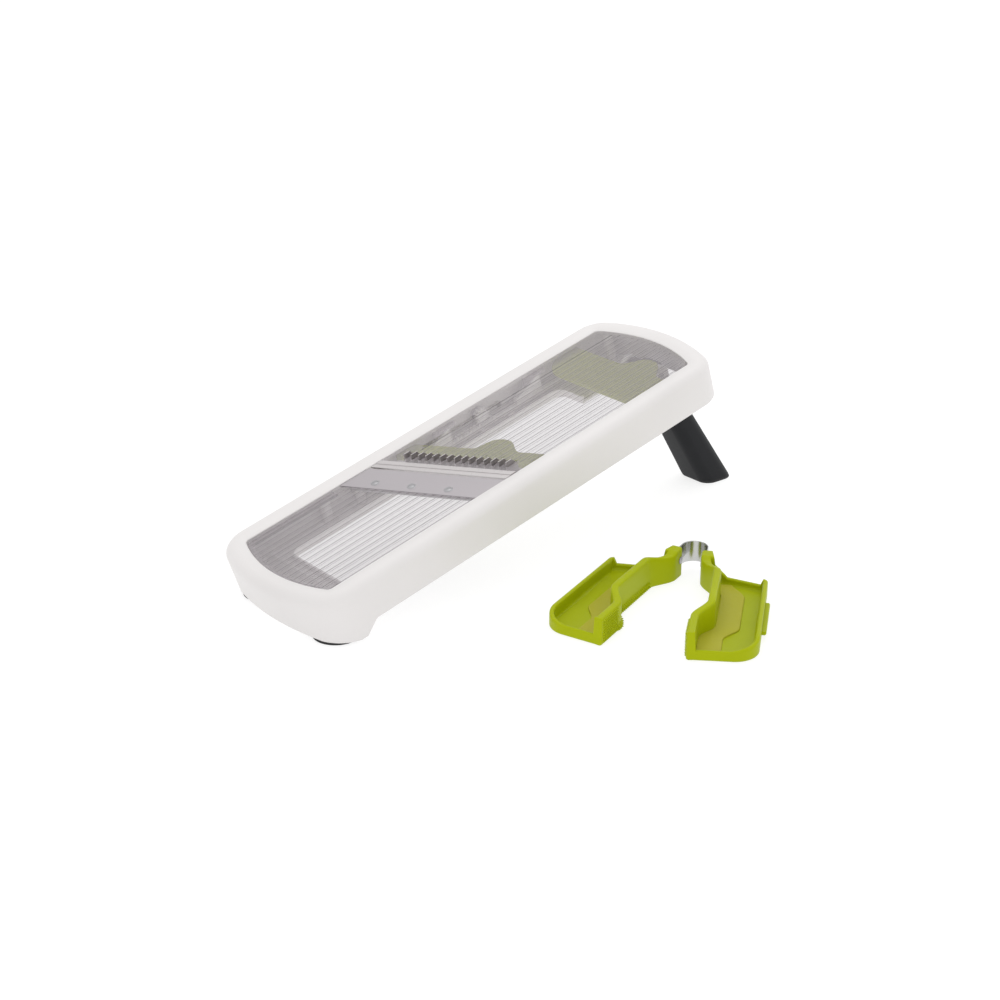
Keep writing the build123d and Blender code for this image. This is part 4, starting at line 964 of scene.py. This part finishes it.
end_s, end_z = np.meshgrid(111.5 + 2.1 * np.arange(11), 2.0 + 2.0 * np.arange(9))
foot_s, foot_z = np.meshgrid(40.0 + 2.6 * np.arange(28), (1.7, 4.3))
for label, side, body in (("left", -1, "grip"), ("right", 1, "free_jaw")):
    end_t, end_lean = wall_line(end_s.ravel())
    foot_t, foot_lean = wall_line(foot_s.ravel())
    tab = [(53.9, 4.4), (57.2, 4.4), (57.8, 5.0), (57.8, 6.4), (57.2, 7.0), (53.9, 7.0)]
    tab_t, tab_z = np.array(tab).T
    tab_s = np.array([54.0, 54.6, 98.4, 99.0])[:, None]
    tab_in = np.array([0.7, 0.0, 0.0, 0.7])[:, None]
    tab_rows = in_grip(tab_s, np.minimum(tab_t, 57.8 - tab_in), tab_z, side)
    shells = [
        jaw_tray(side),
        points_on_wall(end_s.ravel(), end_t, end_lean, end_z.ravel(), 0.95, 1.4, side),
        points_on_wall(foot_s.ravel(), foot_t, foot_lean, foot_z.ravel(), 1.2, 2.2, side),
        shell(tab_rows, turns=True, capped=True),
    ]
    piece(f"grip_jaw_{label}", shells, lime_abs, body, [f"jaw_{label}"], sharp=38.0)

# ---------------------------------------------------------------- jaw liners
# A strip of softer, paler material lies on each tray's floor along the gripping wall.
# Translucent olive elastomer: lets some light through, so it looks paler and hazier than the lime tray.
soft_liner, shader = new_finish(
    "moulded_olive_elastomer", Base_Color=linear("#A9A62E"), IOR=1.5, Specular_IOR_Level=0.15,
    Subsurface_Weight=0.2, Subsurface_Radius=(0.004, 0.004, 0.002), Subsurface_Scale=0.8,
)
grained(soft_liner, shader, 300.0, 3.0, 0.42, 0.62)
liner_s = np.concatenate([[22.0, 22.3], np.linspace(23, 131, 70), [131.7, 132.0]])[:, None]
liner_t = wall_line(liner_s - 1.0)[0] + grip_wall
liner_in = np.concatenate([[0.8, 0.2], np.zeros(70), [0.2, 0.8]])[:, None]
liner_profile = np.array([
    (0.3, 0.0), (0.3, 1.0), (0.6, 1.25), (16.0, 1.25), (16.7, 1.0), (17.0, 0.5), (17.0, 0.0),
])
for label, side, body in (("left", -1, "grip"), ("right", 1, "free_jaw")):
    offset = np.clip(liner_profile[:, 0], 0.3 + liner_in, 17.0 - liner_in)
    lift = np.minimum(liner_profile[:, 1], 1.25 - liner_in)
    rows = in_grip(liner_s, liner_t + offset, jaw_floor + np.maximum(lift, 0), side)
    piece(
        f"jaw_inlay_{label}", [shell(rows, turns=True, capped=True)], soft_liner, body,
        [f"jaw_liner_{label}"],
    )

# ---------------------------------------------------------------- grip spring
# A U of spring-steel strip, 16 mm tall, holds the jaws apart.  Its legs run into slots in the knuckles, each
# held by a rivet.  Its bow bends as the jaws are squeezed, but here the band is one fixed shape, taken off
# the grip's body.
# Cold-rolled, polished spring strip: a bright, slightly streaky mirror, rolled along the band.
spring_steel, shader = new_finish("polished_spring_strip", Base_Color=linear("#C6C6C6"), Metallic=1.0)
spot = add_node(spring_steel, "ShaderNodeTexCoord", {})
flat = add_node(
    spring_steel, "ShaderNodeMapping", {"Vector": spot.outputs["Object"], "Scale": (60.0, 60.0, 1800.0)}
)
streaks = add_node(spring_steel, "ShaderNodeTexNoise", {"Vector": flat.outputs["Vector"], "Detail": 3.0})
polish = add_node(spring_steel, "ShaderNodeMapRange", {
    "Value": streaks.outputs["Fac"], "To Min": 0.12, "To Max": 0.28,
})
spring_steel.node_tree.links.new(polish.outputs["Result"], shader.inputs["Roughness"])
bow, band_half, band_low, band_high, leg_end = 9.6, 0.4, 5.5, 21.5, 14.5
swing = np.linspace(math.pi / 2 + jaw_swing, 3 * math.pi / 2 - jaw_swing, 49)
bow_plan = np.stack([bow * np.cos(swing), bow * np.sin(swing)], 1)
bow_out = bow_plan / bow
leg_run = np.linspace(leg_end, 0, 8)[:-1, None]
ahead = np.array([math.cos(jaw_swing), math.sin(jaw_swing)])
upper = bow_plan[0] + leg_run * ahead
lower = bow_plan[-1] + leg_run[::-1] * ahead * (1, -1)
path = np.concatenate([upper, bow_plan, lower])
out = np.concatenate([np.tile(bow_out[0], (7, 1)), bow_out, np.tile(bow_out[-1], (7, 1))])
band = np.array([
    (-band_half, band_low + 0.3), (-0.2, band_low), (0.2, band_low), (band_half, band_low + 0.3),
    (band_half, band_high - 0.3), (0.2, band_high), (-0.2, band_high), (-band_half, band_high - 0.3),
])
plan = path[:, None] + out[:, None] * band[None, :, :1]
turned_x = plan[..., 0] * math.cos(grip_turn) - plan[..., 1] * math.sin(grip_turn)
turned_y = plan[..., 0] * math.sin(grip_turn) + plan[..., 1] * math.cos(grip_turn)
band_z = np.broadcast_to(band[:, 1] / 1000, turned_x.shape)
band_points = np.stack([pivot[0] + turned_x / 1000, pivot[1] + turned_y / 1000, band_z], -1)
spring = piece(
    "grip_spring_band", [shell(band_points, turns=True, capped=True)], spring_steel, "grip", ["grip_spring"],
    sharp=30.0,
)
spring.parent = None
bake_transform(spring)

# ---------------------------------------------------------------- base, slide, dial and fasteners
# The parts below the deck keep their machined shapes: the white bottom frame and slide rails, the lime
# lifter plates, the black dial and comb knob, and the plated screws, pins and washers.
# A lighter copy of the white ABS for the parts under the deck: painted light, standing in for the light that
# the clear deck keeps from them.
inner_white_painted_light, shader = new_finish("inner_abs_painted_light", IOR=1.53)
drifting(inner_white_painted_light, shader, 14.0, 3.0, "#EFECEB", "#F4F2F1")
grained(inner_white_painted_light, shader, 1500.0, 2.0, 0.5, 0.66)
finishes = {
    inner_white_painted_light: (
        "base_frame", "comb_carrier", "lifter_rail_left", "lifter_rail_right", "leg_brackets", "dial_shaft",
    ),
    lime_abs: ("front_lifter", "rear_lifter"),
    black_nylon: ("thickness_dial", "comb_knob"),
    plated_steel: (
        "blade_backing", "base_screws", "bracket_screws", "comb_screws", "lifter_screws", "leg_pin",
        "dial_washer", "dial_screw", "spring_rivet_left", "spring_rivet_right",
    ),
}
for material, names in finishes.items():
    for name in names:
        mesh = frame["nodes"][name].data
        mesh.materials.clear()
        mesh.materials.append(material)

# ---------------------------------------------------------------- table, lights and camera
# A plain pale table, a large soft light overhead and behind, a fill from the front, and a level camera.
floor_mesh = bpy.data.meshes.new("table_top")
floor_mesh.from_pydata([(-6, -6, 0), (6, -6, 0), (6, 6, 0), (-6, 6, 0)], [], [(0, 1, 2, 3)])
floor = bpy.data.objects.new("table_top", floor_mesh)
bpy.context.scene.collection.objects.link(floor)
# Backlit white acrylic, as under a product shot: it glows a little, so shadows on it stay faint.
pale, shader = new_finish(
    "backlit_white_acrylic", Base_Color=linear("#8C8C8C"), Roughness=0.8, Emission_Color=linear("#FFFFFF"),
    Emission_Strength=0.78,
)
floor_mesh.materials.append(pale)

world = bpy.data.worlds.new("studio")
world.use_nodes = True
world.node_tree.nodes["Background"].inputs["Color"].default_value = (1.0, 1.0, 1.0, 1.0)
world.node_tree.nodes["Background"].inputs["Strength"].default_value = 1.0
bpy.context.scene.world = world
bpy.context.scene.view_settings.view_transform = "Standard"


def soft_light(name, power, size, place, aim):
    """A square softbox at place, turned towards aim."""
    data = bpy.data.lights.new(name, "AREA")
    data.energy, data.size = power, size
    lamp = bpy.data.objects.new(name, data)
    lamp.location = place
    lamp.rotation_euler = (Vector(aim) - Vector(place)).to_track_quat("-Z", "Y").to_euler()
    bpy.context.scene.collection.objects.link(lamp)


middle = (-0.05, 0.0, 0.05)
soft_light("overhead_softbox", 7.0, 1.6, (-0.5, 0.5, 1.9), middle)
soft_light("front_fill", 1.5, 1.4, (1.4, -1.3, 0.9), middle)

view_turn, view_rise, view_distance = math.radians(50.44), math.radians(23.10), 1.57156
aim = Vector((origin_x - 0.0659, origin_y + 0.24382, 0.0))
back = Vector((
    math.sin(view_turn) * math.cos(view_rise), -math.cos(view_turn) * math.cos(view_rise), math.sin(view_rise)
))
lens = bpy.data.cameras.new("camera")
lens.lens, lens.sensor_width = 72.0, 36.0
camera = bpy.data.objects.new("camera", lens)
camera.location = aim + back * view_distance
camera.rotation_euler = (-back).to_track_quat("-Z", "Y").to_euler()
bpy.context.scene.collection.objects.link(camera)
bpy.context.scene.camera = camera
